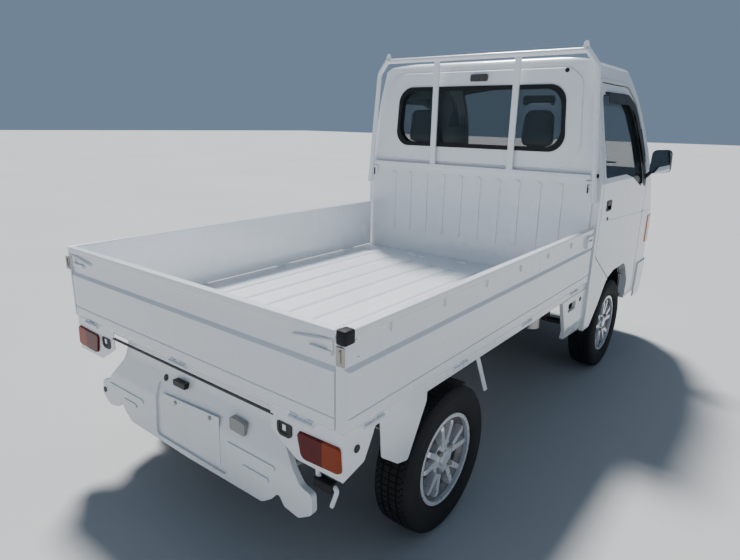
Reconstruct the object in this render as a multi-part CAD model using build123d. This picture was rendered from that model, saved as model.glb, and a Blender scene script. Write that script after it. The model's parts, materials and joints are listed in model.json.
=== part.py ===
"""Kei truck: cab-over pickup with a drop-side bed, rear engine and a guard frame.

Millimetres. +X forward, +Y left, +Z up. The origin is on the ground, under the
middle of the truck's length and width. Every node is one STEP file in parts/.
"""
import os
from functools import cache
from math import cos, hypot, radians, sin, tan

from build123d import *

# Overall sizes
HEIGHT = 1808.0
WHEELBASE = 1885.0
FRONT_AXLE_X = 795.0
REAR_AXLE_X = FRONT_AXLE_X - WHEELBASE
TRACK = 1289.0

# Gaps and fits
PANEL_GAP = 6.0
SEAT_GAP = 0.3
RUN_GAP = 0.06
SHEET = 3.0

# Wheels
TYRE_R = 271.0
TYRE_W = 145.0
RIM_R = 170.0
RIM_LIP = 8.0
HUB_R = 64.0
HUB_DEPTH = 46.0
HUB_STEP = 12.0
CAP_R = 27.0
FACE_INSET = 14.0
SPOKE_PAIRS = 5
SPOKE_HUB_W = 24.0
SPOKE_RIM_W = 17.0
SPOKE_HUB_ANGLE = 9.0
SPOKE_RIM_ANGLE = 14.0
SPOKE_T = 20.0
LUG_PCD = 100.0
LUGS = 4
LUG_SEAT_R = 12.0
LUG_SEAT_DEPTH = 3.0
DRUM_R = 96.0
DRUM_W = 44.0
SPINDLE_R = 17.0
SPINDLE_L = 34.0

# Steering
KINGPIN_Y = 590.0
KINGPIN_BOSS_R = 16.0
KINGPIN_BOSS_H = 90.0
STUD_R = 8.0
STUD_L = 15.0
STRUT_Y = 498.0
STRUT_R = 22.0
STRUT_TOP_Z = 430.0
DAMPER_R = 11.0
SPRING_SEAT_R = 45.0
KNUCKLE_GAP = 6.0

# Bed
BED_REAR_X = -1677.0
BED_FRONT_X = 274.0
DECK_Z = 641.0
DECK_T = 4.0
RIB_H = 8.0
RIB_PITCH = 142.0
RIB_TOP_W = 78.0
RIB_FOOT_W = 100.0
RIBS = 9
RIB_REAR_X = -1480.0
RIB_FRONT_X = 60.0
SHORT_RIB_REAR_X = -1640.0
SHORT_RIB_FRONT_X = -1520.0
SILL_Y = 719.0
SILL_BOTTOM_Z = 612.0
SILL_T = 16.0
SILL_SETBACK = 27.0
BED_CROSS_X = (-1400.0, -1000.0, -600.0, -200.0, 200.0)
BED_CROSS_W = 60.0
POST_FOOT_Z = 500.0
POST_INNER_Y = 440.0
POST_FOOT_Y = 545.0

# Gates
GATE_BOTTOM_Z = 650.0
GATE_TOP_Z = 934.0
GATE_T = 29.0
SIDE_GATE_Y = 731.0
TAIL_GATE_X = -1688.0
TAIL_GATE_HALF = 696.0
BAND_LOW_Z = 832.0
BAND_HIGH_Z = 905.0
BAND_DEPTH = 9.0
BEAD_Z = 692.0
BEAD_DEPTH = 3.0
GATE_CORNER_R = 26.0
SIDE_GATE_FRONT_X = 252.0

# Catches on the gates
ROPE_TABS_X = (-1477.0, -1190.0, -903.0, -616.0, -329.0, -42.0)
ROPE_TAB_W = 18.0
CATCH_X = 206.0
CATCH_W = 76.0
CATCH_LOW_Z = 838.0
CATCH_HIGH_Z = 898.0
CATCH_PROUD = 4.0
LATCH_ROD_R = 5.0
LATCH_LEVER_Z = 866.0
# End of the tailgate's catch rod: across, height
LATCH_ROD = ((545.0, 884.0), (640.0, 896.0), (688.0, 903.0))

# Gate hinges
HINGE_Z = 640.0
SIDE_HINGE_R = 6.5
TAIL_HINGE_R = 7.5
PIN_R = 3.0
HINGE_L = 90.0
HINGE_MIDDLE_L = 36.0
HINGE_AXIAL_GAP = 1.0
SIDE_HINGES_X = (-1562.0, -1080.0, -520.0, 60.0)
TAIL_HINGES_Y = (-577.0, 0.0, 577.0)
TAIL_HINGE_X = TAIL_GATE_X - 2.0

# Headboard and guard frame
HEADBOARD_X = 264.0
HEADBOARD_T = 12.0
HEADBOARD_HALF = 698.0
HEADBOARD_STEP_Z = 724.0
HEADBOARD_STEP = 3.0
TOP_RAIL_LOW_Z = 1172.0
TOP_RAIL_HIGH_Z = 1198.0
TOP_RAIL_REAR_X = 252.0
TOP_RAIL_HALF = 682.0
WALL_RIBS = 10
WALL_RIB_PITCH = 118.0
WALL_RIB_W = 34.0
WALL_RIB_H = 7.0
WALL_RIB_LOW_Z = 775.0
WALL_RIB_HIGH_Z = 1140.0
GUARD_R = 14.0
GUARD_X = HEADBOARD_X - GUARD_R - SEAT_GAP
GUARD_FOOT_HALF = 712.0
GUARD_FOOT_Z = 1060.0
GUARD_BEND_HALF = 653.0
GUARD_BEND_Z = 1712.0
GUARD_BEND_R = 60.0
GUARD_TOP_HALF = 597.0
GUARD_TOP_Z = 1783.0
GUARD_BAR_Y = 245.0
GUARD_BAR_W = 34.0
GUARD_BAR_T = 10.0
GUARD_FOOT_PLATE_Y = 655.0
GUARD_FOOT_PLATE_Z = (1118.0, 1166.0)
GUARD_EAR = (
    # y, z, corner radius
    (560.0, 1778.0, 0), (622.0, 1768.0, 8), (602.0, 1800.0, 14), (595.0, 1826.0, 6), (579.0, 1826.0, 6),
    (572.0, 1800.0, 14),
)

# Cab
CAB_REAR_X = 279.0
CAB_WALL = 28.0
CAB_SILL_Z = 372.0
CAB_HALF = 735.0
CAB_CORNER_R = 170.0
CAB_FRONT_SWEEP = 90.0
CAB_NOSE_R = 2100.0
CAB_NOSE_LIMIT_X = 1750.0
BELT_Z = 1150.0
FLOOR_Z = 440.0
FLOOR_T = 26.0
PLATFORM_Z = 690.0
PLATFORM_T = 40.0
TOE_X = 1130.0
TUNNEL_HALF = 380.0
ARCH_INNER_Y = 405.0
HOUSE_TOP_Z = 622.0
HOUSE_OUTER_Y = 684.0
REBATE_DEPTH = 18.0
REBATE_GAP = 13.0
MOUNT_X = 325.0
DOOR_T = 42.0
DOOR_FRONT_X = 1225.0
DOOR_REAR_X = 322.0
GLASS_INSET = 7.0
GLASS_T = 5.0
GLASS_GAP = 0.3
FLANK_INNER_Y = 495.0
CREASE_W = 9.0
CREASE_DEPTH = 2.5
GUTTER_GAP = 8.0
GUTTER_W = 12.0
GUTTER_PROUD = 7.0
GUTTER_FOOT_Z = 1262.0
WINDSCREEN = (
    # y, z, corner radius
    (-650.0, 1172.0, 40), (650.0, 1172.0, 40), (560.0, 1672.0, 60), (-560.0, 1672.0, 60),
)
WINDSCREEN_REAR_X = 1120.0

# Cab's rear window, its rubber seal and the raised pressing round it
REAR_WINDOW = (
    # y, z, corner radius
    (-517.0, 1309.0, 84), (517.0, 1309.0, 84), (495.0, 1623.0, 94), (-495.0, 1623.0, 94),
)
SEAL_HALF_W = 11.0
SEAL_PROUD = 5.0
SURROUND = (
    (-612.0, 1215.0, 130), (612.0, 1215.0, 130), (577.0, 1702.0, 110), (-577.0, 1702.0, 110),
)
SURROUND_PROUD = 8.0
SURROUND_TAPER = 32.0
ROOF_LAMP_Y = (-64.0, 37.0)
ROOF_LAMP_Z = (1656.0, 1694.0)
ROOF_LAMP_PROUD = 14.0

# Door fittings
HANDLE_X = 450.0
HANDLE_Z = 1030.0
HANDLE_W = 84.0
HANDLE_H = 56.0
HANDLE_RIM = 8.0
HANDLE_PROUD = 3.0
HANDLE_DEPTH = 18.0
HANDLE_LEVER_H = 24.0
LOCK_Z = 960.0
LOCK_R = 9.0
VISOR_EDGE = (
    # x, z, corner radius
    (424.0, 1600.0, 0), (800.0, 1604.0, 120), (946.0, 1552.0, 120), (1072.0, 1362.0, 200),
    (1116.0, 1232.0, 0),
)
VISOR_W = 56.0
VISOR_ROOT_W = 9.0
VISOR_T = 3.0
VISOR_PROUD = 18.0
MIRROR_X = 1150.0
MIRROR_T = 46.0
MIRROR_INNER_Y = 752.0
MIRROR_OUTER_Y = 868.0
MIRROR_LOW_Z = 1158.0
MIRROR_HIGH_Z = 1306.0
MIRROR_ARM_R = 11.0
MIRROR_SAIL_T = 3.0
MIRROR_SAIL = (
    # x, z, corner radius
    (1042.0, 1356.0, 0), (1124.0, 1102.0, 8), (1200.0, 1068.0, 14), (1152.0, 1232.0, 0), (1096.0, 1394.0, 8),
    (1034.0, 1394.0, 8),
)

# Door hinges in the gap ahead of the door
DOOR_HINGES_Z = (560.0, 900.0)
DOOR_HINGE_L = 64.0
DOOR_HINGE_MIDDLE_L = 40.0
DOOR_HINGE_R = 2.6
DOOR_PIN_R = 1.4

# Sections of the cab form: height, front of the centre line, half width
CAB_SECTIONS = (
    # z, front x, half width
    (330.0, 1668.0, 729.0),
    (470.0, 1686.0, 735.0),
    (760.0, 1688.0, 735.0),
    (905.0, 1680.0, 735.0),
    (1060.0, 1595.0, 735.0),
    (1150.0, 1535.0, 733.0),
    (1290.0, 1484.0, 709.0),
    (1410.0, 1430.0, 686.0),
    (1520.0, 1362.0, 666.0),
    (1620.0, 1275.0, 647.0),
    (1700.0, 1160.0, 632.0),
    (1765.0, 1010.0, 620.0),
    (1840.0, 780.0, 606.0),
)

# Frame rails
RAIL_Y = 340.0
RAIL_W = 50.0
RAIL_H = 90.0
RAIL_TOP_Z = 600.0
RAIL_REAR_X = -1596.0
RAIL_STEP_X = 980.0
RAIL_FRONT_X = 1600.0
RAIL_FRONT_LOW_Z = 310.0
RAIL_CROSS_X = (RAIL_REAR_X + 25, -1480.0, -1250.0, -880.0, -250.0, 300.0, 920.0)
RAIL_CROSS_W = 50.0
RAIL_PAD_HALF = 20.0
NOSE_MOUNT_X = (1400.0, 1460.0)
NOSE_CROSS_X = (1440.0, 1490.0)

# Engine, gearbox and rear suspension
TRANSAXLE_REAR_X = -1200.0
TRANSAXLE_FRONT_X = -960.0
TRANSAXLE_HALF = 120.0
TRANSAXLE_Z = (240.0, 440.0)
ENGINE_X = (-1540.0, TRANSAXLE_REAR_X - SEAT_GAP)
ENGINE_Y = (-230.0, 260.0)
ENGINE_LOW_Z = 300.0
ARM_BEAM_X = -690.0
ARM_BEAM_TOP_Z = 361.0
ARM_HALF_H = 28.0
ARM_STUB_Y = 520.0
TRAILING_ARM = (
    # x, y, corner radius
    (ARM_BEAM_X, 250.0, 0), (ARM_BEAM_X, 520.0, 20), (-940.0, 530.0, 40), (-1000.0, 566.0, 40),
    (REAR_AXLE_X - 40, 566.0, 20), (REAR_AXLE_X - 40, 500.0, 20), (-860.0, 420.0, 60), (-760.0, 250.0, 20),
)
DRIVE_SHAFT_R = 15.0

# Rear panel, lamps and plates
REAR_PANEL_X = -1640.0
REAR_PANEL_T = 20.0
PANEL_HANGER_X = REAR_PANEL_X + 26.0
PANEL_HANGER_HALF = 12.0
REAR_PANEL = (
    # y, z, corner radius
    (0.0, SILL_BOTTOM_Z - SEAT_GAP, 0), (424.0, SILL_BOTTOM_Z - SEAT_GAP, 14), (452.0, 512.0, 40),
    (545.0, 402.0, 30), (590.0, 392.0, 16), (596.0, 330.0, 24), (540.0, 296.0, 16), (480.0, 306.0, 10),
    (452.0, 340.0, 14), (424.0, 306.0, 12), (380.0, 276.0, 40), (0.0, 270.0, 0),
)
REAR_FOLD = (
    # x from the panel, z, fold radius
    (16.0, 620.0, 0), (10.0, 540.0, 80), (-22.0, 440.0, 80), (-32.0, 260.0, 0),
)
POCKET_HALF = 205.0
POCKET_Z = (290.0, 500.0)
POCKET_DEPTH = 8.0
PANEL_BEADS = (
    # y low, y high, z
    (-436.0, -209.0, 411.0), (-410.0, -284.0, 359.0), (290.0, 538.0, 387.0), (339.0, 431.0, 353.0),
)
PANEL_BEAD_W = 18.0
PANEL_BEAD_H = 4.0
PLATE_W = 330.0
PLATE_H = 165.0
PLATE_T = 1.5
REAR_PLATE_Y = 4.0
REAR_PLATE_Z = 389.0
REAR_PLATE_TURN = 3.0
FRONT_PLATE_Z = 452.0
REVERSING_LAMP = (
    # y, z, corner radius
    (-222.0, 468.0, 8), (-296.0, 464.0, 8), (-296.0, 509.0, 8), (-222.0, 513.0, 8),
)
REVERSING_PROUD = 14.0
PLATE_LAMP_Y = 63.0
PLATE_LAMP_Z = 529.0
PLATE_LAMP_T = 20.0
PLATE_LAMP_W = 68.0
TAIL_LAMP = (
    (550.0, 597.0, 12), (568.0, 515.0, 24), (717.0, 522.0, 16), (711.0, 603.0, 10),
)
TAIL_LAMP_T = 8.0
TAIL_LAMP_TAPER = 22.0
VENT_Y = (469.0, 529.0)
VENT_Z = (556.0, 600.0)
VENT_T = 3.0
VENT_RIM = 10.0
PLUG_R = 12.0
PLUG_T = 2.0
# Plugs in the corner post and the quarter panel: x, z; in the rear panel: y, z
POST_PLUG = (BED_REAR_X + 56.0, 578.0)
QUARTER_PLUG = (194.0, 572.0)
PANEL_PLUGS = ((164.0, 520.0), (577.0, 350.0))
HOOK_R = 7.0
HOOK_X = -1664.0
HOOK_PATH = (
    # y, z
    (-614.0, 540.0), (-616.0, 468.0), (-690.0, 460.0), (-668.0, 396.0),
)

# Quarter panels, guards and what hangs under the bed
QUARTER_Y = SILL_Y + 3.0
QUARTER_REAR_X = -71.0
QUARTER_FOOT_X = 27.0
QUARTER_LOW_Z = 376.0
QUARTER_FOLD_Z = 450.0
QUARTER_TUCK = 20.0
QUARTER_T = 17.0
QUARTER_HOLE = (22.0, 128.0, 538.0, 584.0)
STAY_TOP_X = -906.0
STAY_LOW = (-813.0, 436.0)
STAY_W = 26.0
GUARD_SHEET = (
    # x, z, corner radius
    (-1249.0, SILL_BOTTOM_Z - SEAT_GAP, 0), (-1249.0, 568.0, 0), (-1347.0, 399.0, 10), (-1402.0, 413.0, 20),
    (-1487.0, 477.0, 20), (-1500.0, SILL_BOTTOM_Z - SEAT_GAP, 0),
)
TANK_X = (-620.0, -290.0)
TANK_INNER_Y = 40.0
TANK_Z = (330.0, 560.0)
CANISTER_R = 45.0
CANISTER_PLACE = (-150.0, -600.0)
CANISTER_LOW_Z = 490.0
SILENCER_X = -1588.0
SILENCER_Z = 380.0
SILENCER_R = 42.0
SILENCER_HALF = 360.0
FLAP_T = 9.0
FLAP_LOW_Z = 318.0
FLAP_HIGH_Z = 400.0
FLAP_INNER_Y = 590.0

# Steering wheel and column
STEER_CENTRE = Vector(1090.0, 370.0, 1020.0)
STEER_TILT = 50.0
STEER_DIR = Vector(-cos(radians(STEER_TILT)), 0, sin(radians(STEER_TILT)))
STEER_R = 178.0
STEER_GRIP_R = 13.0
STEER_HUB_R = 50.0
STEER_HUB_H = 34.0
STEER_HUB_LOW = -29.0
STEER_SHAFT_R = 10.0
STEER_SHAFT_L = 17.0
STEER_SPOKES = (30.0, 150.0, 270.0)
STEER_SPOKE_W = 26.0
STEER_SPOKE_T = 9.0
COLUMN_R = 21.0
COLUMN_L = 690.0

# Cabin
DASH_FORM = (
    # x, z, corner radius
    (1290.0, 840.0, 20), (1270.0, 1030.0, 40), (1330.0, 1100.0, 40), (1460.0, 1100.0, 20),
    (1500.0, 900.0, 20), (1440.0, 840.0, 20),
)
SEAT_INNER_Y = 90.0
SEAT_OUTER_Y = 600.0
SEAT_BACK_TOP_Z = 1290.0
CUSHION_FORM = (
    # x, z, corner radius
    (450.0, PLATFORM_Z + SEAT_GAP, 20), (920.0, PLATFORM_Z + SEAT_GAP, 20), (940.0, PLATFORM_Z + 110, 45),
    (450.0, PLATFORM_Z + 80, 30),
)
SEAT_BACK_FORM = (
    # x, z, corner radius
    (345.0, PLATFORM_Z + SEAT_GAP, 10), (446.0, PLATFORM_Z + SEAT_GAP, 10), (446.0, PLATFORM_Z + 120, 60),
    (400.0, SEAT_BACK_TOP_Z, 40), (320.0, SEAT_BACK_TOP_Z, 40),
)
HEADREST_TOP_Z = 1515.0
HEADREST_HALF = 85.0
HEADREST_FORM = (
    # x, z, corner radius
    (318.0, SEAT_BACK_TOP_Z + SEAT_GAP, 0), (394.0, SEAT_BACK_TOP_Z + SEAT_GAP, 0),
    (380.0, HEADREST_TOP_Z, 24), (324.0, HEADREST_TOP_Z, 24),
)
# Middle of each headrest
HEADRESTS_Y = (390.0, -345.0)
SUN_VISOR_X = (1000.0, 1136.0)
SUN_VISOR_Y = (200.0, 545.0)
SUN_VISOR_T = 14.0
INSIDE_MIRROR_X = (1170.0, 1186.0)
INSIDE_MIRROR = (
    # y, z, corner radius
    (-110.0, 1560.0, 20), (110.0, 1560.0, 20), (110.0, 1625.0, 20), (-110.0, 1625.0, 20),
)
INSIDE_MIRROR_STEM = ((1178.0, 0.0, 1592.0), (1400.0, 0.0, 1640.0))
INSIDE_MIRROR_STEM_R = 7.0

# Nose
BUMPER_Z = (335.0, 560.0)
BUMPER_PROUD = 9.0
BUMPER_REAR_X = 1290.0
GRILLE_HALF = 300.0
GRILLE_LOW_Z = 344.0
GRILLE_BARS = 2
GRILLE_PITCH = 12.0
GRILLE_BAR_H = 5.0
GRILLE_BAR_PROUD = 8.0
WIPERS_Y = ((60.0, -470.0), (560.0, 90.0))
WIPER_PIVOT_Z = 1150.0
WIPER_PIVOT_R = 12.0
WIPER_BLADE_Z = 1196.0
WIPER_PROUD = 13.0
WIPER_ARM_T = 5.0
HEADLAMP = (
    # y, z, corner radius
    (420.0, 706.0, 24), (640.0, 696.0, 30), (648.0, 850.0, 30), (440.0, 842.0, 24),
)
TURN_LAMP = (
    (655.0, 690.0, 10), (760.0, 690.0, 10), (760.0, 870.0, 10), (655.0, 870.0, 10),
)
NOSE_LAMP_PROUD = 5.0
NOSE_REAR_X = 1400.0

# Places worked out from the sizes above
WHEEL_Y = TRACK / 2
WHEEL_INNER_Y = WHEEL_Y - TYRE_W / 2
HUB_FACE_Y = WHEEL_Y + TYRE_W / 2 - FACE_INSET
DISC_BACK_Y = HUB_FACE_Y - HUB_DEPTH

os.makedirs("parts", exist_ok=True)
NODES = {}


def rounded_wire(points):
    """Closed wire through (u, v, corner radius) points, rounded by tangent arcs."""
    count = len(points)
    edges, starts, ends = [], [], []
    for index, (u, v, radius) in enumerate(points):
        before = Vector(*points[index - 1][:2])
        here = Vector(u, v)
        after = Vector(*points[(index + 1) % count][:2])
        back = (before - here).normalized()
        ahead = (after - here).normalized()
        if radius <= 0:
            starts.append(here)
            ends.append(here)
            edges.append(None)
            continue
        half = radians(back.get_angle(ahead)) / 2
        reach = radius / tan(half)
        first = here + back * reach
        last = here + ahead * reach
        middle = here + (back + ahead).normalized() * (radius / sin(half) - radius)
        starts.append(first)
        ends.append(last)
        edges.append(ThreePointArc(first, middle, last))
    path = []
    for index in range(count):
        if edges[index] is not None:
            path.append(edges[index])
        following = (index + 1) % count
        if (starts[following] - ends[index]).length > 1e-6:
            path.append(Line(ends[index], starts[following]))
    return Wire(path)


def signed_area(points):
    """Twice the area of a polygon, positive where its points run anticlockwise."""
    return sum(points[i - 1][0] * points[i][1] - points[i][0] * points[i - 1][1] for i in range(len(points)))


def outline(points, plane):
    """Face in a plane from (u, v) or (u, v, corner radius) points."""
    full = [tuple(p) if len(p) == 3 else (*p, 0.0) for p in points]
    if signed_area(full) < 0:
        full.reverse()
    return plane * Face(rounded_wire(full))


def along_y(points, y_low, y_high):
    """Solid from an X-Z outline between two Y planes."""
    plane = Plane((0, y_high, 0), x_dir=(1, 0, 0), z_dir=(0, -1, 0))
    return extrude(outline(points, plane), y_high - y_low, dir=(0, -1, 0))


def along_x(points, x_low, x_high):
    """Solid from a Y-Z outline between two X planes."""
    plane = Plane((x_low, 0, 0), x_dir=(0, 1, 0), z_dir=(1, 0, 0))
    return extrude(outline(points, plane), x_high - x_low, dir=(1, 0, 0))


def along_z(points, z_low, z_high):
    """Solid from an X-Y outline between two Z planes."""
    plane = Plane((0, 0, z_low))
    return extrude(outline(points, plane), z_high - z_low, dir=(0, 0, 1))


def block(x_low, x_high, y_low, y_high, z_low, z_high):
    """Box between two corners."""
    size = (x_high - x_low, y_high - y_low, z_high - z_low)
    centre = ((x_low + x_high) / 2, (y_low + y_high) / 2, (z_low + z_high) / 2)
    return Pos(*centre) * Box(*size)


def rod(start, end, radius):
    """Round bar between two points."""
    start, end = Vector(*start), Vector(*end)
    plane = Plane(start, z_dir=end - start)
    return extrude(plane * Circle(radius), (end - start).length, dir=(end - start).normalized())


def bent_rod(points, radius, bend):
    """Round bar along straight runs joined by arcs of one bend radius."""
    path = FilletPolyline(*points, radius=bend)
    section = Plane(path @ 0, z_dir=path % 0) * Circle(radius)
    return sweep(section, path=path)


def flip(shape):
    """Mirror image on the other side of the truck."""
    return mirror(shape, about=Plane.XZ)


def both(shape):
    """The shape and its mirror image."""
    return [shape, flip(shape)]


def node(name, *shapes):
    """Keep the solids of one named node."""
    solids = []
    for shape in shapes:
        for item in shape if isinstance(shape, (list, tuple)) else [shape]:
            solids.extend(item.solids())
    NODES[name] = solids


def fuse(*shapes):
    """One solid from touching shapes."""
    flat = []
    for shape in shapes:
        flat.extend(shape if isinstance(shape, (list, tuple)) else [shape])
    result = flat[0]
    return result.fuse(*flat[1:]).clean() if len(flat) > 1 else result


def both_list(shapes):
    """Each shape and its mirror image."""
    return [item for shape in shapes for item in both(shape)]


def mirrored(points):
    """Outline of (y, z, corner radius) points on the truck's other side."""
    return [(-y, z, r) for y, z, r in points]


def cut(shape, *tools):
    """Shape with the tools taken away."""
    flat = []
    for tool in tools:
        flat.extend(tool if isinstance(tool, (list, tuple)) else [tool])
    return shape.cut(*flat)


def turned(points, x):
    """Solid of revolution about a wheel's axle from (y, radius) points."""
    plane = Plane((x, 0, TYRE_R), x_dir=(0, 1, 0), z_dir=(1, 0, 0))
    return revolve(outline(points, plane), Axis((x, 0, TYRE_R), (0, 1, 0)))


def tyre(x):
    """Hollow tyre with its crown, shoulders and beads."""
    inner, outer = WHEEL_INNER_Y, WHEEL_Y + TYRE_W / 2
    tread = TYRE_W / 2 - 14
    profile = [
        (inner + 18.3, RIM_R - RIM_LIP, 0),
        (inner + 18.3, RIM_R + 1, 0),
        (inner + 3, RIM_R + 16, 16),
        (inner, TYRE_R - 45, 30),
        (WHEEL_Y - tread, TYRE_R - 3, 14),
        (WHEEL_Y, TYRE_R, 500),
        (WHEEL_Y + tread, TYRE_R - 3, 14),
        (outer, TYRE_R - 45, 30),
        (outer - 3, RIM_R + 16, 16),
        (outer - 18.3, RIM_R + 1, 0),
        (outer - 18.3, RIM_R - RIM_LIP, 0),
        (outer - 24, RIM_R - RIM_LIP, 0),
        (outer - 24, TYRE_R - 24, 12),
        (inner + 24, TYRE_R - 24, 12),
        (inner + 24, RIM_R - RIM_LIP, 0),
    ]
    return turned(profile, x)


def rim(x):
    """Alloy wheel: turned barrel and hub, and twin blades cut from one dished disc."""
    inner, outer = WHEEL_INNER_Y + 12, WHEEL_Y + TYRE_W / 2 - 12
    seat = RIM_R - RIM_LIP - SEAT_GAP
    barrel = turned([
        (inner, RIM_R), (inner, RIM_R - 14), (inner + 30, seat - 26, 8),
        (outer - 34, seat - 26, 8), (outer - 18, seat - 6, 6), (outer, RIM_R - 14), (outer, RIM_R),
        (outer - 5.7, RIM_R), (outer - 5.7, seat), (outer - 26, seat, 4), (outer - 38, seat - 18, 6),
        (inner + 34, seat - 18, 6), (inner + 22, seat, 4), (inner + 5.7, seat), (inner + 5.7, RIM_R),
    ], x)
    face = HUB_FACE_Y - HUB_STEP
    hub = turned([
        (DISC_BACK_Y, 0), (DISC_BACK_Y, HUB_R + 2, 4), (face, HUB_R, 4), (face, CAP_R + 3),
        (HUB_FACE_Y, CAP_R, 3), (HUB_FACE_Y, 0),
    ], x)
    dish = turned([
        (face - SPOKE_T, HUB_R - 10), (outer - 30 - SPOKE_T / 2, RIM_R - 40, 30), (outer - 26, seat - 12),
        (outer - 8, seat - 12), (outer - 3, RIM_R - 40, 30), (face + 4, HUB_R - 10),
    ], x)
    blades = [
        blade.rotate(Axis((x, 0, TYRE_R), (0, 1, 0)), index * 360 / SPOKE_PAIRS)
        for index in range(SPOKE_PAIRS) for blade in spoke_pair(x, dish)
    ]
    wheel = fuse(barrel, hub, *blades)
    bore = turned([(DISC_BACK_Y - 1, 0), (DISC_BACK_Y - 1, SPINDLE_R + RUN_GAP),
                   (DISC_BACK_Y + SPINDLE_L, SPINDLE_R + RUN_GAP), (DISC_BACK_Y + SPINDLE_L, 0)], x)
    return cut(wheel, bore, *lug_seats(x, face))


def spoke_pair(x, dish):
    """Two blades that part towards the rim, cut from the wheel's dish."""
    pair = []
    for side in (-1, 1):
        hub_angle, rim_angle = radians(side * SPOKE_HUB_ANGLE), radians(side * SPOKE_RIM_ANGLE)
        low_r, high_r = HUB_R - 8, RIM_R - RIM_LIP - 20
        low = Vector(x + low_r * sin(hub_angle), TYRE_R + low_r * cos(hub_angle))
        high = Vector(x + high_r * sin(rim_angle), TYRE_R + high_r * cos(rim_angle))
        across = Vector((high - low).Y, -(high - low).X).normalized()
        blade = [
            low + across * (SPOKE_HUB_W / 2), high + across * (SPOKE_RIM_W / 2),
            high - across * (SPOKE_RIM_W / 2), low - across * (SPOKE_HUB_W / 2),
        ]
        pair.append(along_y([(p.X, p.Y) for p in blade], DISC_BACK_Y, WHEEL_Y + TYRE_W / 2) & dish)
    return pair


def lug_seats(x, face):
    """Round seats for the wheel nuts."""
    seats = []
    for index in range(LUGS):
        angle = radians(45 + index * 360 / LUGS)
        centre_x, centre_z = x + LUG_PCD / 2 * cos(angle), TYRE_R + LUG_PCD / 2 * sin(angle)
        floor = (centre_x, face - LUG_SEAT_DEPTH, centre_z)
        seats.append(rod(floor, (centre_x, face + 20, centre_z), LUG_SEAT_R))
    return seats


def drum(x):
    """Brake drum that turns with the wheel, behind its disc."""
    back = DISC_BACK_Y - SEAT_GAP
    return turned([
        (back - DRUM_W, SPINDLE_R + RUN_GAP), (back - DRUM_W, DRUM_R, 4), (back, DRUM_R - 6, 5),
        (back, SPINDLE_R + RUN_GAP),
    ], x)


def spindle(x, inner_y):
    """Fixed axle stub that a wheel turns on."""
    back = DISC_BACK_Y - SEAT_GAP - DRUM_W - KNUCKLE_GAP
    return turned([
        (inner_y, 0), (inner_y, 30), (back - 14, 30, 4), (back - 14, 40, 3), (back, 38, 3),
        (back, SPINDLE_R + 8), (back + KNUCKLE_GAP - SEAT_GAP, SPINDLE_R + 8),
        (back + KNUCKLE_GAP - SEAT_GAP, SPINDLE_R), (DISC_BACK_Y + SPINDLE_L - 1, SPINDLE_R),
        (DISC_BACK_Y + SPINDLE_L - 1, 0),
    ], x)


def wheel_nodes():
    """Four tyres, and four rims with the brake drums that turn with them."""
    for x, end in ((FRONT_AXLE_X, "front"), (REAR_AXLE_X, "rear")):
        shapes = {"tyre": [tyre(x)], "rim": [rim(x), drum(x)]}
        for name, pieces in shapes.items():
            node(f"{name}_{end}_left", pieces)
            node(f"{name}_{end}_right", [flip(piece) for piece in pieces])


# Cab form

def cab_section(z, front_x, half, inset):
    """Horizontal outline of the cab at one height, moved in by inset."""
    corner = CAB_CORNER_R - inset
    x_side = front_x - CAB_FRONT_SWEEP - inset
    w = half - inset
    crown = CAB_NOSE_R * (hypot(CAB_FRONT_SWEEP, w) / w - 1)
    points = [
        (0.0, -w, 0), (x_side, -w, corner), (front_x - inset + crown, 0.0, CAB_NOSE_R), (x_side, w, corner),
        (0.0, w, 0),
    ]
    return outline(points, Plane((0, 0, z)))


@cache
def cab_body(inset):
    """Solid cab form, moved in by inset on every side."""
    loft_form = loft([cab_section(z, x, w, inset) for z, x, w in CAB_SECTIONS], ruled=True)
    top = HEIGHT - inset
    side = [
        (CAB_REAR_X + inset, CAB_SECTIONS[0][0]), (1750.0, CAB_SECTIONS[0][0]), (1750.0, 1300.0),
        (1190.0 - inset, top - 66, 300), (760.0, top, 900), (CAB_REAR_X + 18 + inset, top - 44, 45),
        (CAB_REAR_X + inset, 1560.0, 300),
    ]
    half = CAB_HALF - inset
    front = [
        (-half, CAB_SECTIONS[0][0]), (half, CAB_SECTIONS[0][0]), (half, BELT_Z),
        (640.0 - inset, top - 62, 90), (0.0, top, 3500), (-640.0 + inset, top - 62, 90), (-half, BELT_Z),
    ]
    return loft_form & along_y(side, -half, half) & along_x(front, CAB_REAR_X - 60, CAB_NOSE_LIMIT_X)


def layer(prism, outer, inner):
    """Part of a prism between two depths below the cab's surface; negative depths stand proud."""
    return cut(prism & cab_body(outer), cab_body(inner))


def flank(points):
    """Prism through the cab's left flank from an X-Z outline."""
    return along_y(list(points), FLANK_INNER_Y, CAB_HALF + 40)


def nose(points):
    """Prism through the cab's nose from a Y-Z outline."""
    return along_x(list(points), NOSE_REAR_X, CAB_NOSE_LIMIT_X + 60)


def back(points):
    """Prism through the cab's back wall from a Y-Z outline."""
    return along_x(list(points), CAB_REAR_X - 60, CAB_REAR_X + 3 * CAB_WALL)


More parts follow.
